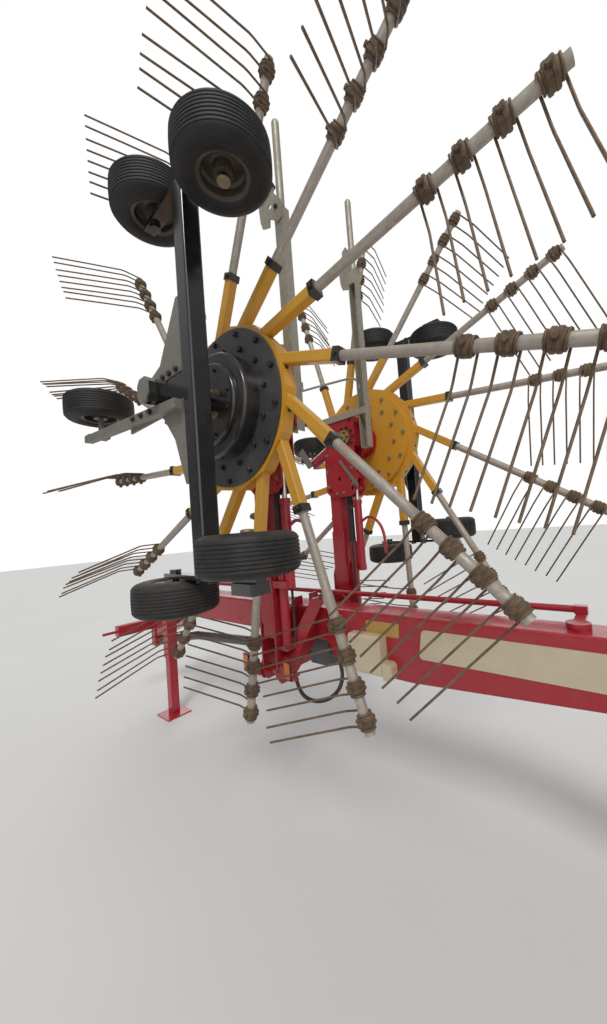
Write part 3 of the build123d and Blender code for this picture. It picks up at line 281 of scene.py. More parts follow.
def circle(steps):
    """Evenly spaced angles of one turn."""
    return np.arange(steps) * 2 * pi / steps


def ring_lathe(radii, heights, steps):
    """Surface of revolution about Z of a closed outline, a ring without poles. The radii are
    one list for every angle or a list for each."""
    turn = circle(steps)[:, None]
    radii = np.broadcast_to(radii, (steps, len(heights)))
    points = np.stack([radii * np.cos(turn), radii * np.sin(turn),
                       np.broadcast_to(heights, radii.shape)], -1)
    return shape(points, grid_quads(steps, len(heights), True))


def capped_lathe(profile, steps):
    """Surface of revolution about Z of an open (radius, height) outline, closed at both ends."""
    turn = circle(steps)
    rings = [np.stack([r * np.cos(turn), r * np.sin(turn), np.full(steps, z)], -1)
             for r, z in profile]
    return stacked(rings, (0, 0, profile[0][1]), (0, 0, profile[-1][1]))


def tube(path, radius, sides, across):
    """Round tube along a path: a circle in the plane of the path's normal, found from a direction
    that the path never runs along, with flat ends."""
    path = np.asarray(path, float)
    ahead = unit(np.gradient(path, axis=0))
    one = unit(np.cross(ahead, np.broadcast_to(across, path.shape)))
    two = np.cross(ahead, one)
    turn = circle(sides)[None, :, None]
    rings = path[:, None] + radius * (np.cos(turn) * one[:, None] + np.sin(turn) * two[:, None])
    return stacked(rings, path[0], path[-1])


def slab(low, high, bevel):
    """Box between two corners with its edges cut: an eight-cornered outline at four heights."""
    low, high = np.array(low, float), np.array(high, float)
    half, middle = (high - low) / 2, (low + high) / 2
    rings = []
    for z, inset in ((-half[2], bevel), (bevel - half[2], 0.0), (half[2] - bevel, 0.0),
                     (half[2], bevel)):
        x, y = half[0] - inset, half[1] - inset
        rings.append([(x - bevel, -y, z), (x, bevel - y, z), (x, y - bevel, z), (x - bevel, y, z),
                      (bevel - x, y, z), (-x, y - bevel, z), (-x, bevel - y, z),
                      (bevel - x, -y, z)])
    return stacked(np.array(rings) + middle, middle - [0, 0, half[2]], middle + [0, 0, half[2]])


def rounded_sheet(x, z, y, radius, lean):
    """Thin panel on the machine's side between two values of each of x, z and y: a rectangle
    with round corners, sheared along the beam."""
    turn = np.linspace(0, pi / 2, 7)
    inner = ((x[1] - radius, z[1] - radius), (x[0] + radius, z[1] - radius),
             (x[0] + radius, z[0] + radius), (x[1] - radius, z[0] + radius))
    ring = np.concatenate([np.stack([at + radius * np.cos(turn + k * pi / 2),
                                     up + radius * np.sin(turn + k * pi / 2)], -1)
                           for k, (at, up) in enumerate(inner)])
    ring[:, 0] += lean * (ring[:, 1] - z[0]) / (z[1] - z[0])
    middle = ring.mean(axis=0)
    rings = [np.column_stack([ring[:, 0], np.full(len(ring), at), ring[:, 1]]) for at in y]
    return stacked(rings, *([middle[0], at, middle[1]] for at in y))


def smooth_route(points, steps):
    """Points along a route: a cubic through every point, its slopes from the neighbours."""
    points = np.asarray(points, float)
    slope = np.gradient(points, axis=0)
    share = np.linspace(0, 1, steps, endpoint=False)[:, None, None]
    a, b, da, db = points[:-1], points[1:], slope[:-1], slope[1:]
    curve = ((2 * share ** 3 - 3 * share ** 2 + 1) * a + (share ** 3 - 2 * share ** 2 + share) * da
             + (3 * share ** 2 - 2 * share ** 3) * b + (share ** 3 - share ** 2) * db)
    return np.concatenate([curve.transpose(1, 0, 2).reshape(-1, 3), points[-1:]])


def put(name, one, material, body, sharp=SHARP):
    """Mesh object of a surface, smooth except at edges sharper than so many degrees."""
    points, quads, triangles = one
    mesh = bpy.data.meshes.new(name)
    mesh.vertices.add(len(points))
    mesh.vertices.foreach_set("co", np.ascontiguousarray(points, np.float32).ravel())
    corners = np.concatenate([quads.ravel(), triangles.ravel()]).astype(np.int32)
    mesh.loops.add(len(corners))
    mesh.loops.foreach_set("vertex_index", corners)
    sizes = np.repeat([4, 3], [len(quads), len(triangles)])
    starts = (np.cumsum(sizes) - sizes).astype(np.int32)
    mesh.polygons.add(len(starts))
    mesh.polygons.foreach_set("loop_start", starts)
    mesh.update(calc_edges=True)
    mesh.polygons.foreach_set("use_smooth", np.ones(len(starts), bool))
    mesh.set_sharp_from_angle(angle=radians(sharp))
    mesh.materials.append(bpy.data.materials[FINISH + material])
    made = bpy.data.objects.new(name, mesh)
    bpy.context.scene.collection.objects.link(made)
    if body is not None:
        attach(made, body)
    return made


# Materials


def give(tree, socket, value):
    """Set an input to a value, or link it to a socket."""
    if isinstance(value, bpy.types.NodeSocket):
        tree.links.new(value, socket)
    else:
        socket.default_value = value


def feed(tree, node, **inputs):
    """Give a node's inputs, each named with _ for a space."""
    for key, value in inputs.items():
        give(tree, node.inputs[key.replace("_", " ")], value)


def lay(tree, kind, settings=None, **inputs):
    """A shader node of a kind, which is its type without ShaderNode, with its settings and its
    inputs given as values or as sockets to link."""
    made = tree.nodes.new("ShaderNode" + kind)
    for key, value in (settings or {}).items():
        setattr(made, key, value)
    feed(tree, made, **inputs)
    return made


def on_piece(tree, kind, **inputs):
    """Outputs of a texture on a piece's own coordinates."""
    at = lay(tree, "TexCoord").outputs["Object"]
    return lay(tree, kind, Vector=at, **inputs).outputs


def noise(tree, scale, detail, roughness=0.5):
    """Noise on a piece's own coordinates."""
    return on_piece(tree, "TexNoise", Scale=scale, Detail=detail, Roughness=roughness)["Fac"]


def sums(tree, operation, first, second=0.0, clamp=False):
    """A Math node's output for one or two numbers or sockets."""
    made = lay(tree, "Math", {"operation": operation, "use_clamp": clamp})
    for socket, value in zip(made.inputs, (first, second)):
        give(tree, socket, value)
    return made.outputs[0]


def blend(tree, share, first, second):
    """Mix of two colours by a share."""
    made = lay(tree, "Mix", {"data_type": "RGBA"})
    for key, kind, value in (("Factor", "VALUE", share), ("A", "RGBA", first),
                             ("B", "RGBA", second)):
        give(tree, next(s for s in made.inputs if s.name == key and s.type == kind), value)
    return next(s for s in made.outputs if s.type == "RGBA")


def ramp(tree, value, low, high, to_low=0.0, to_high=1.0):
    """A value's range mapped onto another, held at both ends."""
    return lay(tree, "MapRange", Value=value, From_Min=low, From_Max=high,
               To_Min=to_low, To_Max=to_high).outputs["Result"]


def new_group(name, outputs, **inputs):
    """An empty shader node group, its inputs by their defaults and named with _ for a space;
    returns it, its start's sockets and its end."""
    tree = bpy.data.node_groups.new(name, "ShaderNodeTree")
    for label, default in inputs.items():
        kind = "NodeSocketFloat" if isinstance(default, float) else "NodeSocketColor"
        socket = tree.interface.new_socket(label.replace("_", " "), in_out="INPUT",
                                           socket_type=kind)
        socket.default_value = default
    for label in outputs:
        kind = "NodeSocketColor" if label == "Color" else "NodeSocketFloat"
        tree.interface.new_socket(label, in_out="OUTPUT", socket_type=kind)
    return tree, tree.nodes.new("NodeGroupInput").outputs, tree.nodes.new("NodeGroupOutput")


def make_dust():
    """Dust film: broad noise times fine noise, stronger where the surface faces up."""
    tree, start, end = new_group(
        "Dust Film", ("Color", "Roughness", "Mask"), Color=(0.5, 0.5, 0.5, 1),
        Dust=(0.3, 0.25, 0.2, 1), Amount=0.5, Scale=9.0, Clean_Roughness=0.35)
    broad = noise(tree, start["Scale"], 5.0, 0.62)
    speck = noise(tree, 160.0, 3.0, 0.7)
    normal = lay(tree, "NewGeometry").outputs["Normal"]
    height = lay(tree, "SeparateXYZ", Vector=normal).outputs["Z"]
    facing = ramp(tree, height, -0.4, 0.9, 0.35, 1.25)
    patch = ramp(tree, broad, 0.32, 0.70, 0.05, 1.0)
    grain = ramp(tree, speck, 0.30, 0.70, 0.55, 1.25)
    mask = sums(tree, "MULTIPLY", sums(tree, "MULTIPLY", patch, facing), grain)
    mask = sums(tree, "MULTIPLY", mask, start["Amount"], clamp=True)
    colour = blend(tree, mask, start["Color"], start["Dust"])
    spare = sums(tree, "SUBTRACT", 0.92, start["Clean Roughness"])
    rough = sums(tree, "ADD", start["Clean Roughness"], sums(tree, "MULTIPLY", mask, spare))
    feed(tree, end, Color=colour, Roughness=rough, Mask=mask)


def make_chips():
    """Chipped paint: fine noise above a limit, only inside the patches of a broad noise."""
    tree, start, end = new_group(
        "Paint Chips", ("Color", "Mask"), Color=(0.5, 0.5, 0.5, 1), Under=(0.1, 0.06, 0.05, 1),
        Amount=0.5, Scale=90.0)
    fine = noise(tree, start["Scale"], 6.0, 0.65)
    patch = ramp(tree, noise(tree, 4.0, 2.0), 0.48, 0.72)
    share = sums(tree, "MULTIPLY", start["Amount"], 0.25)
    limit = sums(tree, "SUBTRACT", 0.80, sums(tree, "MULTIPLY", patch, share))
    over = sums(tree, "MULTIPLY", sums(tree, "SUBTRACT", fine, limit), 30.0, clamp=True)
    feed(tree, end, Color=blend(tree, over, start["Color"], start["Under"]), Mask=over)


def make_spangle():
    """Zinc spangle: random cells of light and dark grey, softened by a broad noise."""
    tree, start, end = new_group("Zinc Spangle", ("Color", "Roughness"),
                                 Color=(0.4, 0.4, 0.4, 1), Scale=55.0, Amount=0.35)
    cell = on_piece(tree, "TexVoronoi", Scale=start["Scale"])["Color"]
    share = lay(tree, "SeparateColor", Color=cell).outputs["Red"]
    both = sums(tree, "ADD", sums(tree, "MULTIPLY", share, 0.5),
                sums(tree, "MULTIPLY", noise(tree, 6.0, 4.0), 0.6))
    dark = sums(tree, "MULTIPLY", sums(tree, "SUBTRACT", 1.0, both), start["Amount"], clamp=True)
    feed(tree, end, Color=blend(tree, dark, start["Color"], (0.05, 0.05, 0.05, 1)),
         Roughness=ramp(tree, both, 0.2, 0.9, 0.34, 0.62))


def use(tree, group, **inputs):
    """A node group placed in a tree with its inputs; returns its outputs."""
    return lay(tree, "Group", {"node_tree": bpy.data.node_groups[group]}, **inputs).outputs


def new_material(name):
    """A material with its shader; returns its tree and the shader."""
    made = bpy.data.materials.new(FINISH + name)
    made.use_nodes = True
    tree = made.node_tree
    return tree, tree.nodes["Principled BSDF"]


def bumpy(tree, shader, height, strength, distance):
    """Bump on a shader's normal."""
    made = lay(tree, "Bump", Height=height, Strength=strength, Distance=distance)
    feed(tree, shader, Normal=made.outputs["Normal"])


def full(colour, share=1.0):
    """A colour at a share of its light, with its alpha."""
    return (*(v * share for v in colour[:3]), 1.0)


def filmed(tree, shader, colour, dust, amount, clean, scale=9.0):
    """Give a shader a colour under the dust film; returns the film's outputs."""
    film = use(tree, "Dust Film", Color=colour, Dust=full(dust), Amount=amount, Scale=scale,
               Clean_Roughness=clean)
    feed(tree, shader, Base_Color=film["Color"], Roughness=film["Roughness"])
    return film


def make_paint(name, colour, dust, amount, gloss, chips=0.4, coat=0.3, under=(0.06, 0.03, 0.02)):
    """Gloss paint with orange peel, small chips and a dust film."""
    tree, shader = new_material(name)
    chipped = use(tree, "Paint Chips", Color=full(colour), Under=full(under), Amount=chips)
    film = filmed(tree, shader, chipped["Color"], dust, amount, gloss)
    peel = sums(tree, "MULTIPLY", noise(tree, 240.0, 2.0), 0.15)
    bumpy(tree, shader, sums(tree, "SUBTRACT", peel, chipped["Mask"]), 0.35, 0.001)
    clear = sums(tree, "SUBTRACT", 1.0, film["Mask"])
    feed(tree, shader, Coat_Weight=sums(tree, "MULTIPLY", clear, coat), Coat_Roughness=0.12)


def make_zinc(name, colour, dust, amount):
    """Hot-dip galvanised steel with spangle and dust."""
    tree, shader = new_material(name)
    zinc = use(tree, "Zinc Spangle", Color=full(colour))
    film = filmed(tree, shader, zinc["Color"], dust, amount, 0.45)
    feed(tree, shader, Metallic=ramp(tree, film["Mask"], 0.0, 0.6, 0.55, 0.0),
         Roughness=sums(tree, "MAXIMUM", zinc["Roughness"], film["Roughness"]))
    bumpy(tree, shader, noise(tree, 120.0, 5.0), 0.25, 0.0008)


def make_wire(name, colour, dust):
    """Spring steel with a thin rust and caked dust."""
    tree, shader = new_material(name)
    cloud = noise(tree, 26.0, 6.0, 0.7)
    rusty = blend(tree, ramp(tree, cloud, 0.35, 0.65), full(colour, 0.45), full(colour))
    filmed(tree, shader, rusty, dust, 0.55, 0.55, 14.0)
    feed(tree, shader, Metallic=0.25)
    bumpy(tree, shader, cloud, 0.4, 0.0015)


def make_rubber(name, colour, dust, amount):
    """Dull rubber with a dust film."""
    tree, shader = new_material(name)
    filmed(tree, shader, full(colour), dust, amount, 0.62, 12.0)
    bumpy(tree, shader, noise(tree, 420.0, 3.0), 0.3, 0.0006)


def make_chrome(name):
    """Hard chromed rod with faint wipe marks."""
    tree, shader = new_material(name)
    feed(tree, shader, Base_Color=(0.62, 0.62, 0.63, 1), Metallic=1.0,
         Roughness=ramp(tree, noise(tree, 60.0, 3.0), 0.3, 0.7, 0.10, 0.30))


def make_lamp(name, colour):
    """Moulded lens or reflector with small prisms."""
    tree, shader = new_material(name)
    prism = on_piece(tree, "TexVoronoi", Scale=260.0)["Distance"]
    tint = blend(tree, ramp(tree, prism, 0.0, 0.6), full(colour, 0.55), full(colour))
    feed(tree, shader, Base_Color=tint, Roughness=0.15, Coat_Weight=0.6)
    bumpy(tree, shader, prism, 0.4, 0.001)


def make_materials(colours):
    """Every finish of the rake."""
    make_dust()
    make_chips()
    make_spangle()
    dust = colours.dust
    make_paint("red_paint", colours.red, dust, 0.20, 0.26, 0.5)
    make_paint("yellow_paint", colours.yellow, dust, 0.22, 0.34, 0.5, under=(0.25, 0.22, 0.18))
    make_paint("grey_paint", colours.grey, dust, 0.28, 0.34, 0.3)
    make_paint("black_paint", colours.black, dust, 0.26, 0.26, 0.3, coat=0.5)
    make_paint("gloss_black", linear(15, 16, 20), dust, 0.08, 0.16, 0.2, coat=0.9)
    make_paint("cream_panel", colours.cream, dust, 0.32, 0.38, 0.2, under=(0.3, 0.28, 0.22))
    make_paint("rim_grey", linear(60, 55, 50), dust, 0.36, 0.45, 0.4)
    make_zinc("galvanised", colours.zinc, dust, 0.55)
    make_zinc("dusty_tube", linear(188, 180, 168), linear(150, 128, 106), 0.8)
    make_wire("tine_steel", colours.rust, dust)
    make_wire("clamp_steel", full(colours.rust, 0.8), dust)
    make_rubber("tyre_rubber", colours.rubber, dust, 0.17)
    make_rubber("black_plastic", colours.black, dust, 0.25)
    make_chrome("chrome_rod")
    make_paint("bolt_black", linear(24, 25, 28), dust, 0.22, 0.35, 0.2)
    make_zinc("bolt_zinc", linear(150, 145, 130), dust, 0.4)
    make_zinc("old_zinc", linear(146, 142, 134), linear(126, 112, 92), 0.5)
    make_zinc("cap_tan", linear(158, 140, 112), dust, 0.6)
    make_zinc("yellow_zinc", linear(186, 152, 84), dust, 0.35)
    make_paint("label_yellow", linear(190, 152, 74), dust, 0.45, 0.4, 0.25, under=(0.3, 0.28, 0.22))
    make_lamp("amber_lamp", linear(235, 120, 20))
    make_lamp("red_lamp", linear(180, 16, 20))


# Pieces


def node_middle(name):
    """Middle and half sizes of a CAD node's box."""
    low, high = (np.array(c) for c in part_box(name))
    return (low + high) / 2, (high - low) / 2


def runner_tyre(radius, half, rim, groove):
    """Outline of a ribbed running tyre: bead, rounded wall with a moulded ring, and eight fine
    ribs with grooves between, on a crown that falls off to the shoulders."""
    wall = np.array([
        (rim, -0.78), (rim + 0.005, -0.88), (rim + 0.012, -0.94), (rim + 0.024, -0.985),
        (rim + 0.030, -1.0), (rim + 0.034, -0.982), (rim + 0.046, -0.990),
        (radius - 0.034, -0.960), (radius - 0.020, -0.90), (radius - 0.011, -0.82),
        (radius - 0.006, -0.74)]) * (1, half)
    edges = np.linspace(-0.71, 0.71, 9) * half
    ribs = []
    for low, high in zip(edges[:-1], edges[1:]):
        top = radius - 0.005 * ((low + high) / 2 / half) ** 2
        ribs += [(top - groove, low + 0.0014), (top - 0.0010, low + 0.0020), (top, low + 0.0036),
                 (top, high - 0.0036), (top - 0.0010, high - 0.0020), (top - groove, high - 0.0014)]
    inside = [(rim - 0.004, 0.60 * half), (rim - 0.004, -0.60 * half)]
    return np.concatenate([wall, ribs, wall[::-1] * (1, -1), inside])


def runner_rim(rim, half):
    """Outline of a running wheel's rim: flanges, a deep well and a dished disc with a hub."""
    return np.array([
        (0.016, -0.80), (0.036, -0.80), (0.038, -0.74), (0.038, -0.30), (0.055, -0.22),
        (rim - 0.022, -0.22), (rim - 0.012, -0.34), (rim - 0.012, -0.76), (rim - 0.002, -0.80),
        (rim + 0.007, -0.88), (rim + 0.009, -0.84), (rim, -0.72), (rim - 0.001, 0.72),
        (rim + 0.009, 0.84), (rim + 0.007, 0.88), (rim - 0.002, 0.80), (rim - 0.012, 0.76),
        (rim - 0.012, -0.10), (rim - 0.022, -0.04), (0.055, -0.04), (0.038, 0.05),
        (0.038, 0.74), (0.036, 0.80), (0.016, 0.80)]) * (1, half)


def road_tyre(radius, half, rim, lug):
    """Road tyre as a grid of angle by outline: rounded walls, and a tread whose height drops
    along three zigzag grooves and at the shoulder's cross grooves."""
    steps, wide = 480, 45
    turn = circle(steps)[:, None]
    wall = np.array([(rim, -0.72), (rim + 0.010, -0.86), (rim + 0.035, -0.97), (rim + 0.080, -1.0),
                     (radius - 0.060, -0.985), (radius - 0.034, -0.945), (radius - 0.020, -0.90)])
    across = np.linspace(-0.86, 0.86, wide)
    crown = radius - 0.016 * np.abs(across / 0.86) ** 3
    radii = np.concatenate([wall[:, 0], crown, wall[::-1, 0], [rim - 0.006, rim - 0.006]])
    spots = np.concatenate([wall[:, 1], across, -wall[::-1, 1], [0.6, -0.6]]) * half
    zig = np.abs((turn * 26 / pi) % 2 - 1) * 0.10 - 0.05
    depth = np.zeros((steps, wide))
    for middle in (-0.45, 0.0, 0.45):
        depth = np.maximum(depth, np.clip(1.6 - np.abs(across[None] - middle - zig) / 0.028, 0, 1))
    slot = np.abs((turn * 26 / pi + np.sign(across)[None] * 0.5) % 1 - 0.5)
    shoulder = np.clip((np.abs(across)[None] - 0.55) / 0.05, 0, 1)
    depth = np.maximum(depth, shoulder * np.clip((0.17 - slot) / 0.05, 0, 1))
    reach = np.broadcast_to(radii, (steps, len(radii))).copy()
    reach[:, len(wall):len(wall) + wide] -= lug * depth
    return ring_lathe(reach, spots, steps)


def bolt_head(size):
    """Hexagon bolt head with a washer below and a chamfered top, standing on z = 0."""
    washer = capped_lathe([(size * 0.62, 0.0), (size * 0.62, size * 0.10)], 14)
    head = capped_lathe([(size * 0.577, size * 0.10), (size * 0.577, size * 0.52),
                         (size * 0.50, size * 0.62)], 6)
    return joined([washer, head])


def standing(points, normals):
    """Places that stand a piece drawn on +Z at each point along its normal."""
    points = np.asarray(points, float).reshape(-1, 3)
    up = unit(np.broadcast_to(np.asarray(normals, float), points.shape))
    helper = np.where(np.abs(up[:, 2:3]) > 0.9, [[1.0, 0.0, 0.0]], [UP])
    one = unit(np.cross(helper, up))
    return np.stack([one, np.cross(up, one), up, points], -1)


def stood(one, points, normals):
    """A piece drawn on +Z, stood at each point along its normal."""
    return copies(one, standing(points, normals))


def arm_angles(side):
    """Angle of each tine arm, from the rear upwards."""
    return ARM_PHASE[side] + 2 * pi * np.arange(ARM_COUNT) / ARM_COUNT


def tine_turns(angles):
    """Turn of each arm as its cam holds it: raised, half turned or working."""
    folded = (angles + pi) % (2 * pi) - pi
    raised = (folded > RAISED_FROM) & (folded < RAISED_TO)
    half = (folded >= RAISED_TO) & (folded < HALF_TO)
    return np.where(raised, pi / 2, np.where(half, pi / 4, 0.0))


def rotor_basis(angles):
    """Directions along each arm, across it in the rotor's plane, and out of the machine."""
    zero = np.zeros_like(angles)
    along = np.stack([-np.cos(angles), zero, np.sin(angles)], -1)
    across = np.stack([np.sin(angles), zero, np.cos(angles)], -1)
    out = np.broadcast_to(OUTWARD, along.shape)
    return along, across, out


def seat_places(side, rng):
    """Places of the double tines on one rotor's left-hand drawing, with a little play in each."""
    angles = arm_angles(side)
    along, across, out = rotor_basis(angles)
    play = rng.normal(0.0, TINE_PLAY, (ARM_COUNT, len(TINE_SPOTS)))
    turn = tine_turns(angles)[:, None] + play
    y = np.cos(turn)[..., None] * across[:, None] + np.sin(turn)[..., None] * out[:, None]
    z = -np.sin(turn)[..., None] * across[:, None] + np.cos(turn)[..., None] * out[:, None]
    x = np.broadcast_to(along[:, None], y.shape)
    reach = np.asarray(TINE_SPOTS)[None, :, None]
    at = ROTOR_AT + reach * along[:, None] + ARM_OFFSET * across[:, None]
    return np.stack([x, y, z, at], -1).reshape(-1, 3, 4)


def tine_wire(way, sizes):
    """One tine of a pair: a helix round the arm tube, then a leg that bends back at its knee.
    The helix runs at a fixed distance from the arm while it moves out along it."""
    turns, steps = sizes.coil_turns, 12
    turn = np.linspace(-2 * pi * turns, 0, turns * steps + 1)
    x = way * (TINE_PITCH / 2 + turn / (2 * pi) * sizes.wire * 1.02)
    coil = np.stack([x, -TINE_ROOT * np.cos(turn), TINE_ROOT * np.sin(turn)], -1)
    (ky, kz), (ty, tz) = TINE_KNEE, TINE_TIP
    bend = np.array([(ky, kz * 0.45), (ky, kz * 0.85), (ky + 0.003, kz * 1.05),
                     (ky + 0.014, kz * 1.32), ((ky + ty) / 2, (kz + tz) / 2), (ty, tz)])
    leg = np.column_stack([np.full(len(bend), way * TINE_PITCH / 2), bend])
    return tube(np.concatenate([coil, leg]), sizes.wire / 2, 6, (1.0, 0.0, 0.0))


def tine_clamp():
    """Clamp block between the two coils: a rounded square section, carried along the arm and
    drawn in at both ends, with a bolt on its back."""
    turn = circle(16)
    grow = 0.0345 / np.maximum(np.abs(np.cos(turn)), np.abs(np.sin(turn))) ** 0.45
    rows = [(-0.0170, 0.90), (-0.0135, 1.0), (-0.0045, 1.0), (-0.0030, 0.93), (0.0030, 0.93),
            (0.0045, 1.0), (0.0135, 1.0), (0.0170, 0.90)]
    rings = [np.stack([np.full(16, x), s * grow * np.cos(turn), s * grow * np.sin(turn)], -1)
             for x, s in rows]
    block = stacked(rings, (rows[0][0], 0, 0), (rows[-1][0], 0, 0))
    return joined([block, stood(bolt_head(0.019), [[0.0, 0.034, 0.0]], OUTWARD)])


def pin_head(radius):
    """Pin end standing on z = 0: a washer, the pin's round end and a chamfer."""
    return capped_lathe([(radius * 1.7, 0.0), (radius * 1.7, 0.004), (radius, 0.004),
                         (radius, 0.016), (radius * 0.82, 0.020)], 24)


def across_spots(pairs, y):
    """Points at (x, z) pairs on a plane at y."""
    pairs = np.asarray(pairs, float)
    return np.stack([pairs[:, 0], np.full(len(pairs), y), pairs[:, 1]], -1)


def ring_spots(radius, turns, y):
    """Points on a circle about the rotor's axis, in the plane at y."""
    return across_spots(np.stack([-radius * np.cos(turns), ROTOR_Z + radius * np.sin(turns)], -1),
                        y)


def scatter(name, one, spots, facing, finish, body):
    """A small piece standing at each spot on both sides, one object per side."""
    for side in SIDES:
        put(f"{name}_{side}", on_side(stood(one, spots, facing), side), finish,
            body.format(side), BOLT_SHARP)


class RAKE_OT_materials(bpy.types.Operator):
    """Make the finishes and give each CAD node its own"""

    bl_idname = "rake.materials"
    bl_label = "Finishes"

    def execute(self, context):
        make_materials(context.scene.rake_colours)
        slots = {s["node"]: s["material_slot"] for s in frame["record"]["subparts"]}
        for name, made in frame["nodes"].items():
            finish = next((v for k, v in OWN_FINISH.items() if name.startswith(k)), slots[name])
            made.data.materials.clear()
            made.data.materials.append(bpy.data.materials[FINISH + finish])
        return {"FINISHED"}


class RAKE_OT_wheels(bpy.types.Operator):
    """Ribbed tyres and dished rims of the running wheels, and the road wheels' treaded tyres"""

    bl_idname = "rake.wheels"
    bl_label = "Wheels"

    def execute(self, context):
        sizes = context.scene.rake_sizes
        for side in SIDES:
            for name, way in RUNNERS.items():
                self.runner(f"{name}_{side}", side, way, sizes.groove)
        for side in SIDES:
            self.road(side, sizes.lug)
        return {"FINISHED"}

    def runner(self, name, side, way, groove):
        node = f"wheel_{name}"
        middle, half = node_middle(node)
        rim = half[0] * RIM_SHARE
        tyre = ring_lathe(*runner_tyre(half[0], half[2], rim, groove).T, 72)
        made = put(f"tyre_{name}", stood(tyre, [middle], UP), "tyre_rubber", node,
                   30)
        disc = ring_lathe(*runner_rim(rim, half[2]).T, 48)
        put(f"rim_{name}", stood(disc, [middle], UP), "rim_grey", node, 35)
        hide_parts(node)
        end = [middle + [0.0, 0.0, way * (half[2] + 0.002)]]
        cap = capped_lathe([(0.026, 0.0), (0.026, 0.004), (0.023, 0.009), (0.010, 0.011)], 28)
        put(f"axle_cap_{name}", stood(cap, end, [0.0, 0.0, way]), "cap_tan",
            f"arm_tube_{side}", 35)

    def road(self, side, lug):
        middle, half = node_middle(f"transport_tyre_{side}")
        rim = node_middle(f"transport_rim_{side}")[1][0]
        tyre = stood(road_tyre(half[0], half[1], rim, lug), [middle], OUTWARD)
        made = put(f"road_tyre_{side}", tyre, "tyre_rubber", f"transport_wheel_{side}",
                   28)
        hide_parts(f"transport_tyre_{side}")


class RAKE_OT_tines(bpy.types.Operator):
    """Wound double tines and their clamps"""

    bl_idname = "rake.tines"
    bl_label = "Tines"

    def execute(self, context):
        sizes = context.scene.rake_sizes
        pair = joined([tine_wire(-1, sizes), tine_wire(1, sizes)])
        for index, side in enumerate(SIDES):
            places = seat_places(side, np.random.default_rng(11 + index))
            wires = on_side(copies(pair, places), side)
            clamps = on_side(copies(tine_clamp(), places), side)
            made = put(f"tine_wires_{side}", wires, "tine_steel", f"rotor_{side}")
            put(f"tine_clamps_{side}", clamps, "clamp_steel", f"rotor_{side}")
            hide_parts(f"tines_{side}")
        return {"FINISHED"}


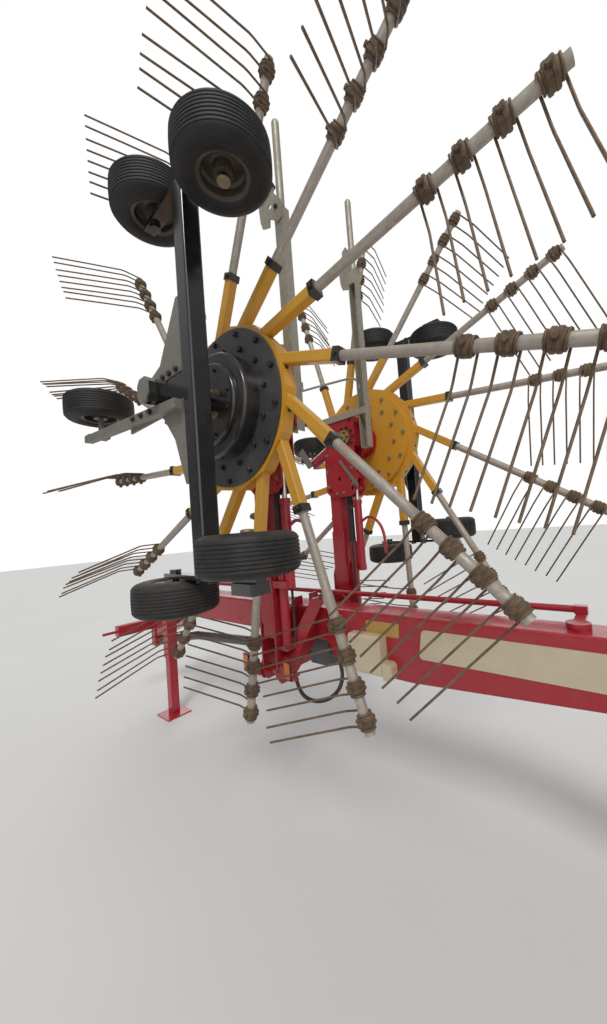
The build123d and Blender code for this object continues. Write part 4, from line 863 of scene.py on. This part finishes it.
class RAKE_OT_bolts(bpy.types.Operator):
    """Bolt heads of the rotors, gear heads, gussets and arms"""

    bl_idname = "rake.bolts"
    bl_label = "Bolts"

    def execute(self, context):
        size = context.scene.rake_sizes.bolt
        self.rotor(size)
        self.head(size)
        self.gear(size)
        self.frame()
        return {"FINISHED"}

    def rotor(self, size):
        nipple = capped_lathe([(0.017, -0.001), (0.017, 0.012), (0.009, 0.016), (0.009, 0.034),
                               (0.012, 0.036), (0.010, 0.044)], 12)
        plug = capped_lathe([(0.010, -0.001), (0.010, 0.0015), (0.007, 0.0025)], 12)
        normals = rotor_basis((np.arange(ARM_COUNT) + 0.5) * 2 * pi / ARM_COUNT)[0]
        for side in SIDES:
            face = abs(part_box(f"rotor_plate_{side}")[1 if side == "left" else 0][1])
            dome = face + COVER_RISE
            angles = arm_angles(side)
            along, across, out = rotor_basis(angles)
            front, back = (np.concatenate([ring_spots(r, angles + turn, y) for r, turn in rings])
                           for rings, y in ((PLATE_RINGS, face), (POT_RINGS, POT_BACK)))
            collar = ROTOR_AT + COLLAR_REACH * along + ARM_OFFSET * across + COLLAR_TOP * out
            cover = ring_spots(COVER_RING, angles[::2], dome)
            plate = joined([stood(bolt_head(size), front, OUTWARD),
                            stood(bolt_head(size * 0.6), cover, OUTWARD)])
            fittings = stood(nipple, [[-0.086, dome, ROTOR_Z + 0.034],
                                      [-0.060, dome, ROTOR_Z - 0.066]], OUTWARD)
            backs = stood(bolt_head(size * 0.9), back, INWARD)
            collars = stood(bolt_head(0.017), collar, out)
            plugs = stood(plug, POT_FLAT * normals + ROTOR_AT, normals)
            rows = (("plate_bolts", plate, "bolt_black", "black_paint"),
                    ("pot_bolts", backs, "bolt_zinc", "galvanised"),
                    ("dome_fittings", fittings, "cap_tan", "galvanised"),
                    ("collar_bolts", collars, "bolt_black", "black_paint"),
                    ("pot_plugs", plugs, "bolt_black", "black_paint"))
            for name, one, finish, slot in rows:
                put(f"{name}_{side}", on_side(one, side), finish, f"rotor_{side}",
                    BOLT_SHARP)

    def head(self, size):
        ring = circle(10)
        corner = across_spots([(0.150, 2.360), (0.150, 2.230), (-0.055, 2.380)], HEAD_FACE)
        inner = np.concatenate([ring_spots(0.074, ring, HEAD_FACE), corner])
        edge = [(-0.055, 2.150), (-0.055, 2.030), (-0.055, 1.915), (0.030, 1.858),
                (0.090, 1.858), (0.166, 1.915), (0.166, 2.030), (0.166, 2.150)]
        bolts, nuts = (across_spots(edge, y) for y in PLATE_FACES)
        latch, back = (across_spots([(-0.067, 3.537), (-0.165, 3.440), (-0.146, 3.575)], y)
                       for y in CHANNEL_FACES)
        flange = capped_lathe([(0.128, -0.014), (0.128, -0.002), (0.118, 0.0)], 48)
        plain, large = bolt_head(size * 0.75), bolt_head(size * 0.8)
        setting = ring_spots(0.035, ring[::2], 0.3003)
        rows = (("head_bolts", plain, inner, INWARD, "bolt_black", "red_paint"),
                ("head_plate_bolts", plain, bolts, INWARD, "bolt_zinc", "galvanised"),
                ("head_plate_nuts", plain, nuts, OUTWARD, "bolt_zinc", "galvanised"),
                ("bearing_flange", flange, [[0.0, 0.552, ROTOR_Z]], OUTWARD, "red_paint",
                 "red_paint"),
                ("latch_bolts", large, latch, OUTWARD, "bolt_black", "galvanised"),
                ("latch_nuts", large, back, INWARD, "bolt_black", "galvanised"),
                ("setting_bolts", bolt_head(0.012), setting, INWARD, "bolt_black", "yellow_zinc"))
        for name, one, spots, facing, finish, slot in rows:
            scatter(name, one, spots, facing, finish, "arm_tube_{}")

    def gear(self, size):
        high = across_spots([(-0.1125 + 0.058 * k, 2.338) for k in range(4)], 1.004)
        low = across_spots([(x, 2.172 + 0.0764 * (x + 0.157)) for x in (0.06, 0.15, 0.24)], 1.046)
        scatter("gusset_bolts", bolt_head(size * 0.85), np.concatenate([high, low]), OUTWARD,
                "bolt_black", "arm_tube_{}")
        for name, z, way in (("upper", 3.130, 1.0), ("lower", 1.438, -1.0)):
            spots = [[x, y, z] for x in (-0.245, -0.155) for y in (GEAR_Y - 0.019, GEAR_Y + 0.019)]
            scatter(f"bogie_bolts_{name}", bolt_head(size * 0.8), spots, [0.0, 0.0, way],
                    "bolt_black", "arm_tube_{}")

    def frame(self):
        ring = circle(6)
        nuts = np.stack([AXLE_X + 0.1 * np.cos(ring), 0.390 + 0.1 * np.sin(ring)], -1)
        rear, front = ([[x, ARM_Y, PIVOT_Z]] for x in LUG_FACES)
        pivot, ahead = pin_head(0.025), [1.0, 0.0, 0.0]
        rows = (("pivot_pin_rear", pivot, rear, [-1.0, 0.0, 0.0], "chassis", "red_paint"),
                ("pivot_pin_front", pivot, front, ahead, "chassis", "red_paint"),
                ("lift_eye_pin", pin_head(0.016), [[0.285, 0.265, 1.110]], ahead, "lift_rod_{}",
                 "chrome_rod"),
                ("width_pin", pin_head(0.012), [[-0.040, 0.4287, 1.980]], OUTWARD,
                 "arm_tube_{}", "galvanised"),
                ("wheel_nuts", bolt_head(0.024), across_spots(nuts, 1.072), OUTWARD,
                 "transport_wheel_{}", "rim_grey"))
        for name, one, spots, facing, body, slot in rows:
            scatter(name, one, spots, facing, "bolt_zinc", body)


class RAKE_OT_trim(bpy.types.Operator):
    """Reflectors, rear lenses, blank label and panels, arm pipes, hoops and latch bars"""

    bl_idname = "rake.trim"
    bl_label = "Trim"

    def execute(self, context):
        self.lamps()
        self.sheets()
        self.rods()
        return {"FINISHED"}

    def lamps(self):
        lenses = [slab((x - 0.022, 0.436, z + 0.005), (x + 0.022, 0.444, z + 0.096), 0.003)
                  for x, z in REFLECTORS]
        rims = [slab((x - 0.026, 0.4352, z), (x + 0.026, 0.440, z + 0.101), 0.002)
                for x, z in REFLECTORS]
        tail, turn = (slab((LENS_FACE - 0.006, y0, 0.530), (LENS_FACE, y1, 0.610), 0.004)
                      for y0, y1 in ((0.630, 0.740), (0.746, 0.822)))
        rows = (("reflectors", joined(lenses), "amber_lamp"),
                ("reflector_rims", joined(rims), "black_plastic"),
                ("tail_lens", tail, "red_lamp"), ("turn_lens", turn, "amber_lamp"))
        for side in SIDES:
            for name, one, finish in rows:
                put(f"{name}_{side}", on_side(one, side), finish, "chassis")

    def sheets(self):
        label = rounded_sheet((-0.560, -0.350), (1.000, 1.076), (BEAM_SIDE, BEAM_SIDE + 0.0012),
                              0.006, -0.006)
        put("label", label, "label_yellow", "chassis")
        panel = rounded_sheet(SIGN_X, SIGN_Z, (BEAM_SIDE, BEAM_SIDE + 0.003), 0.022, -0.024)
        made = put("panels", joined([on_side(panel, side) for side in SIDES]), "cream_panel",
                   "chassis")
        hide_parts("sign_panels")

    def rods(self):
        pipe = tube(smooth_route(PIPE_ROUTE, 5), 0.0075, 10, (1.0, 0.3, 0.1))
        hoop = tube(smooth_route(across_spots(HOOP_ROUTE, ARM_Y), 6), 0.010, 12, OUTWARD)
        bar = tube(smooth_route(across_spots(LATCH_ROUTE, LATCH_Y), 5), 0.0085, 10, OUTWARD)
        rows = (("arm_pipe", pipe, "black_plastic", "swing_arm", "red_paint"),
                ("guide_hoop", hoop, "red_paint", "swing_arm", "red_paint"),
                ("latch_bar", bar, "galvanised", "arm_tube", "galvanised"))
        for side in SIDES:
            for name, one, finish, body, slot in rows:
                put(f"{name}_{side}", on_side(one, side), finish, f"{body}_{side}")


class RAKE_OT_hoses(bpy.types.Operator):
    """Hydraulic hoses that loop below the beam"""

    bl_idname = "rake.hoses"
    bl_label = "Hoses"

    def execute(self, context):
        for side in SIDES:
            route = [(x, y if side == "left" else -y, z) for x, y, z in HOSE_ROUTE]
            line = bpy.data.curves.new(f"hose_line_{side}", "CURVE")
            line.dimensions = "3D"
            line.bevel_depth = HOSE_WIDE / 2
            line.bevel_resolution = 5
            line.resolution_u = 12
            line.use_fill_caps = True
            spline = line.splines.new("NURBS")
            spline.points.add(len(route) - 1)
            for point, at in zip(spline.points, route):
                point.co = (*at, 1.0)
            spline.order_u = 3
            spline.use_endpoint_u = True
            line.materials.append(bpy.data.materials[FINISH + "black_plastic"])
            made = bpy.data.objects.new(f"hose_line_{side}", line)
            context.scene.collection.objects.link(made)
            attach(made, "chassis")
            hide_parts(f"hose_{side}")
        return {"FINISHED"}


class RAKE_OT_stage(bpy.types.Operator):
    """Floor, light, background and the photograph's camera"""

    bl_idname = "rake.stage"
    bl_label = "Stage"

    def execute(self, context):
        scene = context.scene
        scene.view_settings.view_transform = "Standard"
        self.floor()
        self.world(scene)
        self.sun()
        self.camera(scene)
        return {"FINISHED"}

    def floor(self):
        tree, shader = new_material("floor")
        shade = blend(tree, noise(tree, 0.6, 3.0), (0.66, 0.65, 0.63, 1), (0.72, 0.71, 0.69, 1))
        feed(tree, shader, Base_Color=shade, Roughness=0.85)
        points = FLOOR_HALF * np.array([(-1, -1, 0), (1, -1, 0), (1, 1, 0), (-1, 1, 0)])
        sheet = (points, np.array([[0, 1, 2, 3]]), np.zeros((0, 3), int))
        put("floor", sheet, "floor", None)

    def world(self, scene):
        world = bpy.data.worlds.new("studio")
        scene.world = world
        world.use_nodes = True
        tree = world.node_tree
        tree.nodes.clear()
        path = lay(tree, "LightPath").outputs
        seen = sums(tree, "ADD", path["Is Camera Ray"], path["Is Transmission Ray"], clamp=True)
        aim = lay(tree, "TexCoord").outputs["Generated"]
        glow = WORLD_GLOW
        for way, low, high, gain in BRIGHTER:
            share = lay(tree, "VectorMath", {"operation": "DOT_PRODUCT"})
            give(tree, share.inputs[0], aim)
            give(tree, share.inputs[1], way)
            glow = sums(tree, "ADD", glow,
                        ramp(tree, share.outputs["Value"], low, high, 0.0, gain))
        light, gleam, white = (
            lay(tree, "Background", Color=colour, Strength=strength)
            for colour, strength in ((WORLD_TINT, WORLD_LIGHT), (WORLD_TINT, glow),
                                     ((1, 1, 1, 1), 1.0)))
        inner = self.either(tree, path["Is Glossy Ray"], light, gleam)
        shown = self.either(tree, seen, inner, white)
        feed(tree, lay(tree, "OutputWorld"), Surface=shown.outputs[0])

    def either(self, tree, share, first, second):
        """Mix of two lights by a share"""
        mix = lay(tree, "MixShader", Fac=share)
        for socket, light in zip(mix.inputs[1:], (first, second)):
            give(tree, socket, light.outputs[0])
        return mix

    def sun(self):
        for name, energy, angle, aim in SUNS:
            lamp = bpy.data.lights.new(name, "SUN")
            lamp.energy, lamp.angle = energy, radians(angle)
            back = unit(-np.array(aim))
            one = unit(np.cross(UP, back))
            self.place(lamp, (one, np.cross(back, one), back))

    def place(self, data, axes, at=(0.0, 0.0, 0.0)):
        """Object of a lamp or camera at a point, with its own three axes"""
        made = bpy.data.objects.new(data.name, data)
        made.matrix_world = Matrix.Translation(at) @ Matrix(np.stack(axes, -1).tolist()).to_4x4()
        bpy.context.scene.collection.objects.link(made)
        return made

    def camera(self, scene):
        yaw, pitch, roll = CAMERA_TURN
        ahead = np.array([cos(pitch) * cos(yaw), cos(pitch) * sin(yaw), sin(pitch)])
        right = unit(np.cross(ahead, UP))
        up = np.cross(right, ahead)
        leaned = cos(roll) * right + sin(roll) * up
        raised = -sin(roll) * right + cos(roll) * up
        lens = bpy.data.cameras.new("photo_camera")
        lens.sensor_fit = "VERTICAL"
        lens.sensor_height = SENSOR
        lens.lens = CAMERA_FOCUS / PHOTO_ROWS * SENSOR
        lens.shift_x = -CAMERA_SHIFT[0] / PHOTO_ROWS
        lens.shift_y = CAMERA_SHIFT[1] / PHOTO_ROWS
        lens.clip_end = 200.0
        scene.camera = self.place(lens, (leaned, raised, -ahead), CAMERA_AT)


STEPS = (RAKE_OT_materials, RAKE_OT_stage, RAKE_OT_hoses, RAKE_OT_wheels, RAKE_OT_tines,
         RAKE_OT_bolts, RAKE_OT_trim)


class RAKE_PT_panel(bpy.types.Panel):
    """Sizes, colours and the steps of the rake's looks"""

    bl_idname = "RAKE_PT_panel"
    bl_label = "Rake"
    bl_space_type = "VIEW_3D"
    bl_region_type = "UI"
    bl_category = "Rake"

    def draw(self, context):
        for group in (context.scene.rake_sizes, context.scene.rake_colours):
            for key in type(group).__annotations__:
                self.layout.prop(group, key)
        for step in STEPS:
            self.layout.operator(step.bl_idname)


CLASSES = (RakeSizes, RakeColours, *STEPS, RAKE_PT_panel)


def register():
    for one in CLASSES:
        bpy.utils.register_class(one)
    bpy.types.Scene.rake_sizes = PointerProperty(type=RakeSizes)
    bpy.types.Scene.rake_colours = PointerProperty(type=RakeColours)


def unregister():
    del bpy.types.Scene.rake_colours
    del bpy.types.Scene.rake_sizes
    for one in reversed(CLASSES):
        bpy.utils.unregister_class(one)


def main():
    """Make every piece in order."""
    register()
    bpy.ops.rake.materials()
    bpy.ops.rake.stage()
    bpy.ops.rake.hoses()
    bpy.ops.rake.wheels()
    bpy.ops.rake.tines()
    bpy.ops.rake.bolts()
    bpy.ops.rake.trim()


if __name__ == "__main__":
    main()
